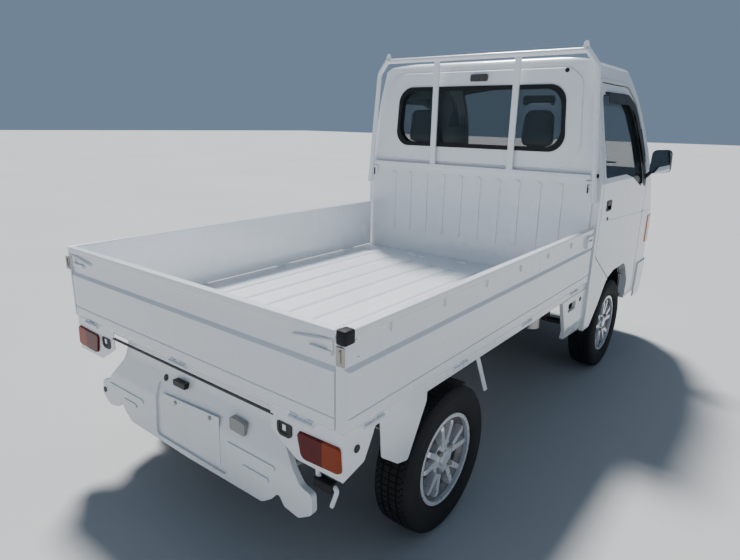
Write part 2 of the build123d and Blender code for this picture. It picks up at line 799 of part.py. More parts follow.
# Openings in the cab's side, as X-Z outlines
DOOR_OUTLINE = (
    # x, z, corner radius
    (DOOR_REAR_X, 775.0, 20), (DOOR_REAR_X + 8, BELT_Z + 20, 0), (DOOR_REAR_X + 26, 1640.0, 40),
    (850.0, 1642.0, 160), (1005.0, 1560.0, 160), (1108.0, 1400.0, 200), (1165.0, 1235.0, 200),
    (DOOR_FRONT_X - 4, 1060.0, 40), (DOOR_FRONT_X, 990.0, 0), (DOOR_FRONT_X, 396.0, 40), (1074.0, 396.0, 0),
    (1056.0, 540.0, 60), (934.0, 628.0, 90), (740.0, 628.0, 60), (618.0, 600.0, 0),
)
WINDOW_OUTLINE = (
    (DOOR_REAR_X + 38, 1176.0, 18), (DOOR_REAR_X + 54, 1586.0, 26), (800.0, 1588.0, 90),
    (925.0, 1510.0, 130), (1032.0, 1350.0, 200), (1116.0, 1106.0, 20), (1080.0, 1086.0, 20),
    (880.0, 1150.0, 120), (740.0, 1176.0, 60),
)
ARCH_OUTLINE = (
    (1078.0, 200.0, 0), (1066.0, 500.0, 90), (960.0, 622.0, 100), (720.0, 622.0, 100), (590.0, 590.0, 60),
    (370.0, 365.0, 0), (300.0, 200.0, 0),
)
# Room for the steered tyre behind the arch's lip
HOUSE_OUTLINE = (
    (1112.0, 200.0, 0), (1110.0, 440.0, 90), (960.0, HOUSE_TOP_Z, 100), (590.0, HOUSE_TOP_Z, 60),
    (350.0, 365.0, 0), (300.0, 200.0, 0),
)

# Floor and seat platform with everything under them, as an X-Z outline
FLOOR_OUTLINE = (
    (CAB_REAR_X, 300.0, 0), (CAB_NOSE_LIMIT_X, 300.0, 0), (CAB_NOSE_LIMIT_X, FLOOR_Z + 90, 0),
    (1560.0, FLOOR_Z + 60, 60), (1500.0, FLOOR_Z, 60), (TOE_X + 20, FLOOR_Z, 20), (TOE_X, PLATFORM_Z, 30),
    (CAB_REAR_X, PLATFORM_Z, 0),
)


def grown(points, amount):
    """Outline moved outwards by amount, with its corner radii kept."""
    count = len(points)
    side = 1.0 if signed_area(points) > 0 else -1.0
    moved = []
    for index, (u, v, radius) in enumerate(points):
        before, after = points[index - 1], points[(index + 1) % count]
        first = (Vector(u, v) - Vector(*before[:2])).normalized()
        second = (Vector(*after[:2]) - Vector(u, v)).normalized()
        n1, n2 = Vector(first.Y, -first.X) * side, Vector(second.Y, -second.X) * side
        shift = (n1 + n2) * (amount / (1 + n1.dot(n2)))
        moved.append((u + shift.X, v + shift.Y, radius))
    return moved


def cab_shell():
    """Hollow cab: floor, seat platform, wheel houses, nose, pillars and roof."""
    cavity = cab_body(CAB_WALL)
    keep_floor = along_y(list(FLOOR_OUTLINE), -CAB_HALF, CAB_HALF)
    shell = cut(cab_body(0.0), cut(cavity, keep_floor))
    arch = along_y(list(ARCH_OUTLINE), ARCH_INNER_Y, CAB_HALF + 10)
    tunnel = along_y([
        (CAB_REAR_X - 10, 300.0), (1620.0, 300.0), (1620.0, FLOOR_Z - FLOOR_T, 10),
        (TOE_X - 20, FLOOR_Z - FLOOR_T, 20), (TOE_X - 34, PLATFORM_Z - PLATFORM_T, 20),
        (CAB_REAR_X - 10, PLATFORM_Z - PLATFORM_T, 0),
    ], -TUNNEL_HALF, TUNNEL_HALF)
    pocket = along_y([
        (CAB_REAR_X - 10, 300.0), (352.0, 300.0), (560.0, PLATFORM_Z - PLATFORM_T),
        (CAB_REAR_X - 10, PLATFORM_Z - PLATFORM_T),
    ], ARCH_INNER_Y, CAB_HALF - CAB_WALL)
    footwell = along_y([
        (TOE_X, 300.0), (1480.0, 300.0), (1460.0, FLOOR_Z - FLOOR_T), (TOE_X, FLOOR_Z - FLOOR_T),
    ], ARCH_INNER_Y, CAB_HALF - CAB_WALL)
    house = along_y(list(HOUSE_OUTLINE), ARCH_INNER_Y, HOUSE_OUTER_Y)
    door_hole = cut(flank(grown(DOOR_OUTLINE, PANEL_GAP)), cab_body(DOOR_T + PANEL_GAP))
    rebate = layer(flank(grown(DOOR_OUTLINE, REBATE_GAP)), REBATE_DEPTH, DOOR_T + PANEL_GAP)
    windscreen = along_x(list(WINDSCREEN), WINDSCREEN_REAR_X, CAB_NOSE_LIMIT_X)
    sill = along_z([(0, -800), (2000, -800), (2000, 800), (0, 800)], 300.0, CAB_SILL_Z)
    shell = fuse(shell, rear_surround())
    shell = cut(shell, both(arch), both(house), tunnel, both(pocket), both(footwell))
    shell = cut(shell, both(door_hole), both(rebate), windscreen, back(REAR_WINDOW), sill, both(crease()))
    return fuse(shell, both(gutter()))


def rear_surround():
    """Raised pressing on the cab's back, with sloped edges, round the rear window."""
    plane = Plane((CAB_REAR_X - SURROUND_PROUD, 0, 0), x_dir=(0, 1, 0), z_dir=(1, 0, 0))
    pressing = extrude(outline(list(SURROUND), plane), 2 * CAB_WALL, dir=(1, 0, 0), taper=-SURROUND_TAPER)
    return layer(pressing, -SURROUND_PROUD, REBATE_DEPTH)


def crease():
    """Cutter for the pressed line along the left flank, from the door's handle to the nose."""
    rear, front = (DOOR_REAR_X + 118, 950.0), (CAB_NOSE_LIMIT_X, 890.0)
    line = [rear, front, (front[0], front[1] + CREASE_W), (rear[0], rear[1] + CREASE_W)]
    return cut(flank(line), cab_body(CREASE_DEPTH))


def gutter():
    """Drip rail over the left door and down the windscreen pillar."""
    band = cut(flank(grown(DOOR_OUTLINE, GUTTER_GAP + GUTTER_W)), flank(grown(DOOR_OUTLINE, GUTTER_GAP)))
    upper = block(DOOR_REAR_X + 20, CAB_NOSE_LIMIT_X, FLANK_INNER_Y, CAB_HALF + 40, GUTTER_FOOT_Z, HEIGHT)
    return layer(band & upper, -GUTTER_PROUD, CREASE_DEPTH)


def pane(prism):
    """Glass pane: the part of a window's prism in a thin layer below the cab's surface."""
    return layer(prism, GLASS_INSET, GLASS_INSET + GLASS_T)


def door_shell(turning):
    """Left door's slab, less what is cut from it, with its hinge barrels."""
    slab = layer(flank(DOOR_OUTLINE), 0.0, DOOR_T)
    arch = along_y(grown(ARCH_OUTLINE, PANEL_GAP), ARCH_INNER_Y, CAB_HALF + 10)
    pocket = cut(flank(handle_outline(-SEAT_GAP)), cab_body(HANDLE_DEPTH))
    return fuse(cut(slab, arch, flank(WINDOW_OUTLINE), crease(), pocket), *turning)


def cab_nodes():
    """Cab, doors with their glass, mirrors and fittings, and the fixed windows."""
    fixed, turning = door_hinge_parts()
    node("cab_shell", fuse(cab_shell(), *both_list(fixed)))
    door = {
        "door_shell": [door_shell(turning)],
        "door_glass": [pane(flank(grown(WINDOW_OUTLINE, -GLASS_GAP)))],
        "door_mirror": [door_mirror()],
        "door_trim": door_trim(),
    }
    for name, pieces in door.items():
        node(f"{name}_left", pieces)
        node(f"{name}_right", [flip(piece) for piece in pieces])
    node("windscreen", pane(along_x(grown(WINDSCREEN, -GLASS_GAP), WINDSCREEN_REAR_X, CAB_NOSE_LIMIT_X)))
    node("rear_window", pane(back(grown(REAR_WINDOW, -SEAL_HALF_W - GLASS_GAP))))
    node("rear_window_seal", rear_window_seal())
    (y_low, y_high), (z_low, z_high) = ROOF_LAMP_Y, ROOF_LAMP_Z
    lamp = back([(y_low, z_low, 8), (y_high, z_low, 8), (y_high, z_high, 8), (y_low, z_high, 8)])
    node("roof_lamp", layer(lamp, -SURROUND_PROUD - ROOF_LAMP_PROUD, -SURROUND_PROUD - SEAT_GAP))


def rear_window_seal():
    """Rubber frame in the rear window's opening, with a lip that lies on the pressing."""
    front = -SURROUND_PROUD - SEAL_PROUD
    lip = layer(back(grown(REAR_WINDOW, SEAL_HALF_W)), front, -SURROUND_PROUD - SEAT_GAP)
    throat = layer(back(grown(REAR_WINDOW, -SEAT_GAP)), front, CAB_WALL)
    return cut(fuse(lip, throat), back(grown(REAR_WINDOW, -SEAL_HALF_W)))


def handle_outline(shrink):
    """Door handle's rounded rectangle, made smaller by shrink."""
    u, v = HANDLE_W / 2 - shrink, HANDLE_H / 2 - shrink
    return [
        (HANDLE_X - u, HANDLE_Z - v, 8), (HANDLE_X + u, HANDLE_Z - v, 8), (HANDLE_X + u, HANDLE_Z + v, 8),
        (HANDLE_X - u, HANDLE_Z + v, 8),
    ]


def door_trim():
    """Left door's handle in its cup, its lock and the rain visor over its window."""
    cup = layer(flank(handle_outline(0.0)), -HANDLE_PROUD, HANDLE_DEPTH - SEAT_GAP)
    cup = cut(cup, cut(flank(handle_outline(HANDLE_RIM)), cab_body(GLASS_INSET + GLASS_T)))
    top, half = HANDLE_Z + HANDLE_H / 2 - HANDLE_RIM / 2, HANDLE_W / 2 - HANDLE_RIM / 2
    lever = layer(flank([
        (HANDLE_X - half, top - HANDLE_LEVER_H, 4), (HANDLE_X + half, top - HANDLE_LEVER_H, 4),
        (HANDLE_X + half, top, 4), (HANDLE_X - half, top, 4),
    ]), -HANDLE_PROUD, GLASS_INSET)
    lock = rod((HANDLE_X, FLANK_INNER_Y, LOCK_Z), (HANDLE_X, CAB_HALF + 40, LOCK_Z), LOCK_R)
    strip = layer(visor_band(VISOR_W), -VISOR_PROUD, -VISOR_PROUD + VISOR_T)
    root = layer(visor_band(VISOR_ROOT_W), -VISOR_PROUD, -SEAT_GAP)
    over_sail = flank(grown(MIRROR_SAIL, SEAT_GAP)) & cab_body(-MIRROR_SAIL_T - SEAT_GAP)
    return [fuse(cup, lever), layer(lock, -HANDLE_PROUD, -SEAT_GAP), cut(fuse(strip, root), over_sail)]


def visor_band(width):
    """Prism that follows the left visor's outer edge, with its width measured into the window."""
    inner = []
    for index, (x, z, radius) in enumerate(VISOR_EDGE):
        before, after = VISOR_EDGE[max(index - 1, 0)], VISOR_EDGE[min(index + 1, len(VISOR_EDGE) - 1)]
        ahead = Vector(after[0] - before[0], after[1] - before[1]).normalized()
        inner.append((x + ahead.Y * width, z - ahead.X * width, max(radius - width, 0)))
    return flank(list(VISOR_EDGE) + inner[::-1])


def door_hinge_parts():
    """Left door's hinges: the fixed ends with their pins, and the barrels that turn on them."""
    x, y = DOOR_FRONT_X + PANEL_GAP / 2, CAB_HALF
    fixed, turning = [], []
    for z in DOOR_HINGES_Z:
        low, high = z - DOOR_HINGE_L / 2, z + DOOR_HINGE_L / 2
        middle_low, middle_high = z - DOOR_HINGE_MIDDLE_L / 2, z + DOOR_HINGE_MIDDLE_L / 2
        fixed.append(rod((x, y, low), (x, y, high), DOOR_PIN_R))
        for start, end in ((low, middle_low - HINGE_AXIAL_GAP), (middle_high + HINGE_AXIAL_GAP, high)):
            fixed.append(rod((x, y, start), (x, y, end), DOOR_HINGE_R))
            fixed.append(block(x, x + PANEL_GAP / 2 + 1, y - DOOR_HINGE_R, y, start, end))
        web = block(x - PANEL_GAP / 2 - 1, x, y - DOOR_HINGE_R, y, middle_low, middle_high)
        barrel = fuse(rod((x, y, middle_low), (x, y, middle_high), DOOR_HINGE_R), web)
        turning.append(cut(barrel, rod((x, y, low), (x, y, high), DOOR_PIN_R + RUN_GAP)))
    return fixed, turning


def door_mirror():
    """Mirror housing on an arm, with the plate in the window's front corner that carries it."""
    housing = along_x([
        (MIRROR_INNER_Y, MIRROR_LOW_Z, 28), (MIRROR_OUTER_Y, MIRROR_LOW_Z + 10, 28),
        (MIRROR_OUTER_Y - 6, MIRROR_HIGH_Z, 28), (MIRROR_INNER_Y + 8, MIRROR_HIGH_Z - 6, 28),
    ], MIRROR_X, MIRROR_X + MIRROR_T)
    arm = rod((MIRROR_X + 18, MIRROR_INNER_Y + 20, MIRROR_LOW_Z + 20),
              (MIRROR_X + 10, CAB_HALF - 14, MIRROR_LOW_Z - 40), MIRROR_ARM_R)
    sail = layer(flank(MIRROR_SAIL), -MIRROR_SAIL_T, -SEAT_GAP)
    return fuse(cut(fuse(housing, arm), cab_body(-SEAT_GAP)), sail)


# Bed

def bed_deck():
    """Floor with pressed ribs, side sills, cross sill and rear corner posts."""
    half = SILL_Y
    deck = block(BED_REAR_X, BED_FRONT_X, -half, half, DECK_Z - DECK_T, DECK_Z)
    pieces = [deck]
    for index in range(RIBS):
        y = (index - (RIBS - 1) / 2) * RIB_PITCH
        for rear, front in ((RIB_REAR_X, RIB_FRONT_X), (SHORT_RIB_REAR_X, SHORT_RIB_FRONT_X)):
            rib = [
                (y - RIB_FOOT_W / 2, DECK_Z - DECK_T / 2), (y + RIB_FOOT_W / 2, DECK_Z - DECK_T / 2),
                (y + RIB_TOP_W / 2, DECK_Z + RIB_H), (y - RIB_TOP_W / 2, DECK_Z + RIB_H),
            ]
            pieces.append(along_x(rib, rear, front))
    for side in (-1, 1):
        low, high = sorted((side * (half - SILL_T), side * half))
        pieces.append(block(BED_REAR_X, BED_FRONT_X, low, high, SILL_BOTTOM_Z, DECK_Z - DECK_T / 2))
    rear_sill_x = BED_REAR_X + SILL_SETBACK
    pieces.append(block(rear_sill_x, rear_sill_x + SILL_T, -half, half, SILL_BOTTOM_Z, DECK_Z - DECK_T / 2))
    inner = half - SILL_T - 6
    for x in BED_CROSS_X:
        pieces.append(block(x - BED_CROSS_W / 2, x + BED_CROSS_W / 2, -inner, inner,
                            RAIL_TOP_Z, DECK_Z - DECK_T / 2))
    pieces.append(block(PANEL_HANGER_X - PANEL_HANGER_HALF, PANEL_HANGER_X + PANEL_HANGER_HALF, -inner, inner,
                        SILL_BOTTOM_Z, DECK_Z - DECK_T / 2))
    post = along_y([
        (BED_REAR_X, DECK_Z - DECK_T / 2), (BED_REAR_X, POST_FOOT_Z), (BED_REAR_X + 90, POST_FOOT_Z + 22, 14),
        (BED_REAR_X + 122, 580.0, 14), (BED_REAR_X + 150, DECK_Z - DECK_T / 2),
    ], half - SHEET, half)
    face = along_x([
        (POST_INNER_Y, DECK_Z - DECK_T / 2), (POST_INNER_Y, VENT_Z[0] + 8, 14),
        (POST_FOOT_Y, POST_FOOT_Z, 20), (half, POST_FOOT_Z), (half, DECK_Z - DECK_T / 2),
    ], BED_REAR_X, BED_REAR_X + SHEET)
    pieces += both(post) + both(face)
    return fuse(*pieces)


def hinge_knuckle(centre, direction, radius, length, offset, bore):
    """One barrel of a gate hinge on its pin line."""
    along = Vector(*direction)
    middle = Vector(*centre) + along * offset
    start, end = middle - along * (length / 2), middle + along * (length / 2)
    barrel = rod(tuple(start), tuple(end), radius)
    if not bore:
        return barrel
    return cut(barrel, rod(tuple(start - along), tuple(end + along), bore))


def gate_knuckles(centre, direction, radius):
    """The two outer barrels that belong to the gate."""
    length = (HINGE_L - HINGE_MIDDLE_L) / 2 - HINGE_AXIAL_GAP
    offset = (HINGE_L - length) / 2
    return [hinge_knuckle(centre, direction, radius, length, s * offset, PIN_R + RUN_GAP) for s in (-1, 1)]


def frame_knuckle(centre, direction, radius):
    """The middle barrel and the pin that belong to the bed."""
    middle = hinge_knuckle(centre, direction, radius, HINGE_MIDDLE_L, 0, 0)
    pin = hinge_knuckle(centre, direction, PIN_R, HINGE_L, 0, 0)
    return fuse(middle, pin)


def side_hinge_straps():
    """Fixed halves of the side gates' hinges on the left, welded to the sill."""
    shapes = []
    half = HINGE_MIDDLE_L / 2
    for x in SIDE_HINGES_X:
        strap = block(x - half, x + half, SILL_Y - 1, SIDE_GATE_Y, HINGE_Z - 4, HINGE_Z + 1)
        shapes.append(fuse(frame_knuckle((x, SIDE_GATE_Y, HINGE_Z), (1, 0, 0), SIDE_HINGE_R), strap))
    return shapes


def tail_hinge_straps():
    """Fixed halves of the tailgate's hinges on the cross sill."""
    shapes = []
    half = HINGE_MIDDLE_L / 2
    for y in TAIL_HINGES_Y:
        strap = block(TAIL_HINGE_X, BED_REAR_X + 1, y - half, y + half, HINGE_Z - 4, HINGE_Z + 1)
        shapes.append(fuse(frame_knuckle((TAIL_HINGE_X, y, HINGE_Z), (0, 1, 0), TAIL_HINGE_R), strap))
    return shapes


def gate_section(outer, inward):
    """Gate's cross section as (across, z) points; inward is the sign towards the bed."""
    inner, bead, band = (outer + inward * depth for depth in (GATE_T, BEAD_DEPTH, BAND_DEPTH))
    return [
        (inner, GATE_BOTTOM_Z, 3), (outer, GATE_BOTTOM_Z, 6), (outer, BEAD_Z - 5), (bead, BEAD_Z - 2),
        (bead, BEAD_Z + 2), (outer, BEAD_Z + 5), (outer, BAND_LOW_Z - 12, 4), (band, BAND_LOW_Z, 3),
        (band, BAND_HIGH_Z, 3), (outer, BAND_HIGH_Z + 5, 3), (outer, GATE_TOP_Z, 6), (inner, GATE_TOP_Z, 6),
    ]


def hinge_tab_side(x):
    """Leaf between one side hinge's outer barrels and the gate."""
    length = (HINGE_L - HINGE_MIDDLE_L) / 2 - HINGE_AXIAL_GAP
    offset = (HINGE_L - length) / 2
    tabs = []
    for s in (-1, 1):
        centre = x + s * offset
        tabs.append(block(centre - length / 2, centre + length / 2, SIDE_GATE_Y - 5, SIDE_GATE_Y,
                          HINGE_Z + PIN_R + 1, GATE_BOTTOM_Z + 2))
    return tabs


def side_gate():
    """Left drop side with its rolled top, recessed band, rope tabs and hinge barrels."""
    panel = along_x(gate_section(SIDE_GATE_Y, -1), TAIL_GATE_X, SIDE_GATE_FRONT_X)
    corner = along_z([
        (TAIL_GATE_X, SIDE_GATE_Y - GATE_T), (TAIL_GATE_X, SIDE_GATE_Y, GATE_CORNER_R),
        (SIDE_GATE_FRONT_X, SIDE_GATE_Y, 6), (SIDE_GATE_FRONT_X, SIDE_GATE_Y - GATE_T),
    ], GATE_BOTTOM_Z, GATE_TOP_Z)
    panel = panel & corner
    pieces = [panel]
    floor_y = SIDE_GATE_Y - BAND_DEPTH - 1
    for x in ROPE_TABS_X:
        pieces.append(block(x - ROPE_TAB_W / 2, x + ROPE_TAB_W / 2, floor_y, SIDE_GATE_Y - 2,
                            BAND_HIGH_Z - 26, BAND_HIGH_Z + 4))
    pieces.append(side_catch(floor_y))
    for x in SIDE_HINGES_X:
        pieces += gate_knuckles((x, SIDE_GATE_Y, HINGE_Z), (1, 0, 0), SIDE_HINGE_R)
        pieces += hinge_tab_side(x)
    return fuse(*pieces)


def side_catch(floor_y):
    """Left gate's catch at its front end: a rounded case with its lever over a finger slot."""
    rear, front = CATCH_X - CATCH_W / 2, CATCH_X + CATCH_W / 2
    case = along_y([
        (rear, CATCH_LOW_Z, 10), (front, CATCH_LOW_Z, 10), (front, CATCH_HIGH_Z, 10),
        (rear, CATCH_HIGH_Z, 10),
    ], floor_y, SIDE_GATE_Y + CATCH_PROUD)
    slot = along_y([
        (rear + 10, CATCH_HIGH_Z - 24), (front - 10, CATCH_HIGH_Z - 24), (front - 10, CATCH_HIGH_Z - 14),
        (rear + 10, CATCH_HIGH_Z - 14),
    ], SIDE_GATE_Y - BAND_DEPTH, SIDE_GATE_Y + 2 * CATCH_PROUD)
    return cut(case, slot)


def tail_catch():
    """Left end of the tailgate's catch: a rod in the band, its lever and its bolt."""
    x = TAIL_GATE_X + BAND_DEPTH - LATCH_ROD_R + 1
    runs = [(x, y, z) for y, z in LATCH_ROD]
    bar = bent_rod(runs, LATCH_ROD_R, 20.0)
    floor_x, (bend_y, _), (end_y, end_z) = TAIL_GATE_X + BAND_DEPTH + 1, *LATCH_ROD[1:]
    lever = block(x - LATCH_ROD_R + 1, floor_x, bend_y - 36, end_y - 4, LATCH_LEVER_Z - 6, LATCH_LEVER_Z + 6)
    stay = block(x - 1, floor_x, end_y - 18, end_y - 2, LATCH_LEVER_Z, end_z - 6)
    return fuse(bar, lever, stay)


def tail_gate():
    """Tailgate with the same pressing as the sides, its latches and hinge barrels."""
    plane = Plane((0, TAIL_GATE_HALF, 0), x_dir=(1, 0, 0), z_dir=(0, -1, 0))
    panel = extrude(outline(gate_section(TAIL_GATE_X, 1), plane), 2 * TAIL_GATE_HALF, dir=(0, -1, 0))
    pieces = [panel, *both(tail_catch())]
    length = (HINGE_L - HINGE_MIDDLE_L) / 2 - HINGE_AXIAL_GAP
    offset = (HINGE_L - length) / 2
    for y in TAIL_HINGES_Y:
        pieces += gate_knuckles((TAIL_HINGE_X, y, HINGE_Z), (0, 1, 0), TAIL_HINGE_R)
        for s in (-1, 1):
            centre = y + s * offset
            pieces.append(block(TAIL_HINGE_X, TAIL_HINGE_X + 7, centre - length / 2, centre + length / 2,
                                HINGE_Z + PIN_R + 1, GATE_BOTTOM_Z + 2))
    return fuse(*pieces)


def headboard():
    """Ribbed wall at the front of the bed, with a box rail along its top."""
    lower, upper, half = DECK_Z + SEAT_GAP, TOP_RAIL_HIGH_Z, HEADBOARD_HALF
    face, back_x = HEADBOARD_X, HEADBOARD_X + HEADBOARD_T
    pieces = [
        block(face, back_x, -half, half, HEADBOARD_STEP_Z, TOP_RAIL_LOW_Z),
        block(face + HEADBOARD_STEP, back_x, -half, half, lower, HEADBOARD_STEP_Z),
        along_y([
            (TOP_RAIL_REAR_X, TOP_RAIL_LOW_Z, 4), (back_x, TOP_RAIL_LOW_Z), (back_x, upper, 4),
            (TOP_RAIL_REAR_X, upper, 4),
        ], -TOP_RAIL_HALF, TOP_RAIL_HALF),
    ]
    for index in range(WALL_RIBS):
        y = (index - (WALL_RIBS - 1) / 2) * WALL_RIB_PITCH
        radius = WALL_RIB_W / 2 - 1
        pieces.append(along_x([
            (y - WALL_RIB_W / 2, WALL_RIB_LOW_Z, radius), (y + WALL_RIB_W / 2, WALL_RIB_LOW_Z, radius),
            (y + WALL_RIB_W / 2, WALL_RIB_HIGH_Z, radius), (y - WALL_RIB_W / 2, WALL_RIB_HIGH_Z, radius),
        ], face - WALL_RIB_H, face + 1))
    return fuse(*pieces)


def guard_frame():
    """Frame behind the cab: bent tube posts with ears and feet, a top bar and two flat uprights."""
    x, half_t = GUARD_X, GUARD_BAR_T / 2
    post = bent_rod([
        (x, GUARD_FOOT_HALF, GUARD_FOOT_Z), (x, GUARD_BEND_HALF, GUARD_BEND_Z),
        (x, GUARD_TOP_HALF, GUARD_TOP_Z),
    ], GUARD_R, GUARD_BEND_R)
    ear = along_x(list(GUARD_EAR), x - half_t, x + half_t)
    foot = block(x, HEADBOARD_X - SEAT_GAP, GUARD_FOOT_PLATE_Y, GUARD_FOOT_HALF - 10, *GUARD_FOOT_PLATE_Z)
    upright = block(x - half_t, x + half_t, GUARD_BAR_Y - GUARD_BAR_W / 2, GUARD_BAR_Y + GUARD_BAR_W / 2,
                    TOP_RAIL_HIGH_Z + SEAT_GAP, GUARD_TOP_Z)
    bar = rod((x, -GUARD_TOP_HALF, GUARD_TOP_Z), (x, GUARD_TOP_HALF, GUARD_TOP_Z), GUARD_R)
    return fuse(bar, *both_list([post, ear, foot, upright]))


# Rear panel, lamps and plates

def fold_form(depth):
    """Slab that follows the rear panel's folds, moved forward by depth."""
    outer = [(REAR_PANEL_X + x + depth, z, r) for x, z, r in REAR_FOLD]
    inner = [(x + REAR_PANEL_T, z, max(r - REAR_PANEL_T, 0)) for x, z, r in reversed(outer)]
    return along_y(outer + inner, -CAB_HALF, CAB_HALF)


def fold_x(z):
    """Outer face of the rear panel at one height."""
    for (x_high, z_high, _), (x_low, z_low, _) in zip(REAR_FOLD, REAR_FOLD[1:]):
        if z_low <= z <= z_high:
            return REAR_PANEL_X + x_low + (x_high - x_low) * (z - z_low) / (z_high - z_low)
    raise ValueError(z)


def rear_panel():
    """Pressed engine cover below the tailgate: folds, a pocket for the plate and raised beads."""
    low, high = REAR_PANEL_X - 60, REAR_PANEL_X + 60
    full = list(REAR_PANEL) + mirrored(reversed(REAR_PANEL[1:-1]))
    panel = along_x(full, low, high) & fold_form(0.0)
    pocket = along_x([
        (-POCKET_HALF, POCKET_Z[0], 20), (POCKET_HALF, POCKET_Z[0], 20), (POCKET_HALF, POCKET_Z[1], 20),
        (-POCKET_HALF, POCKET_Z[1], 20),
    ], low, high)
    beads = []
    for y_low, y_high, z in PANEL_BEADS:
        half, radius = PANEL_BEAD_W / 2, PANEL_BEAD_W / 2 - 0.5
        bead = along_x([
            (y_low, z - half, radius), (y_high, z - half, radius), (y_high, z + half, radius),
            (y_low, z + half, radius),
        ], low, high)
        beads.append(bead & fold_form(-PANEL_BEAD_H))
    return fuse(cut(panel, cut(pocket & fold_form(0.0), fold_form(POCKET_DEPTH))), *beads)


def plates():
    """Blank number plates: one in the rear panel's pocket, one on the bumper."""
    slope = (fold_x(POCKET_Z[0] + 100) - fold_x(POCKET_Z[0])) / 100
    away = Vector(-1, 0, slope).normalized()
    floor = Vector(fold_x(REAR_PLATE_Z) + POCKET_DEPTH, REAR_PLATE_Y, REAR_PLATE_Z)
    plane = Plane(floor + away * (SEAT_GAP + PLATE_T / 2), x_dir=(0, -1, 0), z_dir=away)
    rear = plane * (Rot(0, 0, REAR_PLATE_TURN) * Box(PLATE_W, PLATE_H, PLATE_T))
    behind = block(NOSE_REAR_X, CAB_NOSE_LIMIT_X, -PLATE_W / 2, PLATE_W / 2,
                   FRONT_PLATE_Z - PLATE_H / 2, FRONT_PLATE_Z + PLATE_H / 2) & cab_body(-BUMPER_PROUD)
    front_x = behind.bounding_box().max.X + SEAT_GAP + PLATE_T / 2
    return [rear, Pos(front_x, 0, FRONT_PLATE_Z) * Box(PLATE_T, PLATE_W, PLATE_H)]


def lamp_nodes():
    """Tail lamps on the corner posts and the reversing lamp on the rear panel."""
    seat = BED_REAR_X - SEAT_GAP
    face = outline(list(TAIL_LAMP), Plane((seat, 0, 0), x_dir=(0, 1, 0), z_dir=(1, 0, 0)))
    node("tail_lamps", both(extrude(face, TAIL_LAMP_T, dir=(-1, 0, 0), taper=TAIL_LAMP_TAPER)))
    z = (REVERSING_LAMP[0][1] + REVERSING_LAMP[2][1]) / 2
    reverse = along_x(list(REVERSING_LAMP), fold_x(z) - REVERSING_PROUD, fold_x(z) + REAR_PANEL_T / 2)
    node("reversing_lamp", cut(reverse, fold_form(-SEAT_GAP)))


def black_trim():
    """Vents, plugs, plate lamp and front mudflaps."""
    seat = BED_REAR_X - SEAT_GAP
    vent_low, vent_high = VENT_Y
    frame = along_x([
        (vent_low, VENT_Z[0], 18), (vent_high, VENT_Z[0], 18), (vent_high, VENT_Z[1], 6),
        (vent_low, VENT_Z[1], 6),
    ], seat - VENT_T, seat)
    mouth_low, mouth_high = vent_low + VENT_RIM, vent_high - VENT_RIM
    mouth = along_x([
        (mouth_low, VENT_Z[0] + VENT_RIM, 10), (mouth_high, VENT_Z[0] + VENT_RIM, 10),
        (mouth_high, VENT_Z[1] - 4), (mouth_low, VENT_Z[1] - 4),
    ], seat - 2 * VENT_T, seat - 1.0)
    side_plugs = []
    for (x, z), side in ((POST_PLUG, SILL_Y + SEAT_GAP), (QUARTER_PLUG, QUARTER_Y + SEAT_GAP)):
        side_plugs += both(rod((x, side, z), (x, side + PLUG_T, z), PLUG_R))
    panel_plugs = []
    for y, z in PANEL_PLUGS:
        plug = rod((REAR_PANEL_X - 60, y, z), (REAR_PANEL_X + 60, y, z), PLUG_R)
        panel_plugs.append(plug & cut(fold_form(-SEAT_GAP - PLUG_T), fold_form(-SEAT_GAP)))
    lamp_x = fold_x(PLATE_LAMP_Z)
    lamp = block(lamp_x - PLATE_LAMP_T, lamp_x + REAR_PANEL_T / 2, PLATE_LAMP_Y - PLATE_LAMP_W / 2,
                 PLATE_LAMP_Y + PLATE_LAMP_W / 2, PLATE_LAMP_Z - 10, PLATE_LAMP_Z + 10)
    wall_x, outer_y = HOUSE_OUTLINE[0][0], HOUSE_OUTER_Y - SEAT_GAP
    flap = block(wall_x - FLAP_T, wall_x, FLAP_INNER_Y, outer_y, FLAP_LOW_Z, FLAP_HIGH_Z)
    flap = flap & along_y(grown(HOUSE_OUTLINE, -SEAT_GAP), FLAP_INNER_Y, outer_y)
    return [*both(cut(frame, mouth)), *side_plugs, *panel_plugs, cut(lamp, fold_form(-SEAT_GAP)), *both(flap)]


def tow_hook():
    """Bent rod below the right tail lamp, welded to a foot on the corner post's back."""
    hook = bent_rod([(HOOK_X, y, z) for y, z in HOOK_PATH], HOOK_R, 14.0)
    y, z = HOOK_PATH[0]
    foot = block(BED_REAR_X + SHEET + SEAT_GAP, HOOK_X + HOOK_R, y - 16, y + 16, z - 40, z + 16)
    return fuse(hook, foot)


def engine_nodes():
    """Plain blocks for the closed engine and gearbox."""
    node("engine", block(*ENGINE_X, *ENGINE_Y, ENGINE_LOW_Z, RAIL_TOP_Z - RAIL_H + 10 - SEAT_GAP))
    node("transaxle", transaxle(0.0))


def transaxle(extra):
    """Gearbox and differential case, moved out by extra."""
    half = TRANSAXLE_HALF + extra
    return block(TRANSAXLE_REAR_X - extra, TRANSAXLE_FRONT_X + extra, -half, half,
                 TRANSAXLE_Z[0] - extra, TRANSAXLE_Z[1] + extra)


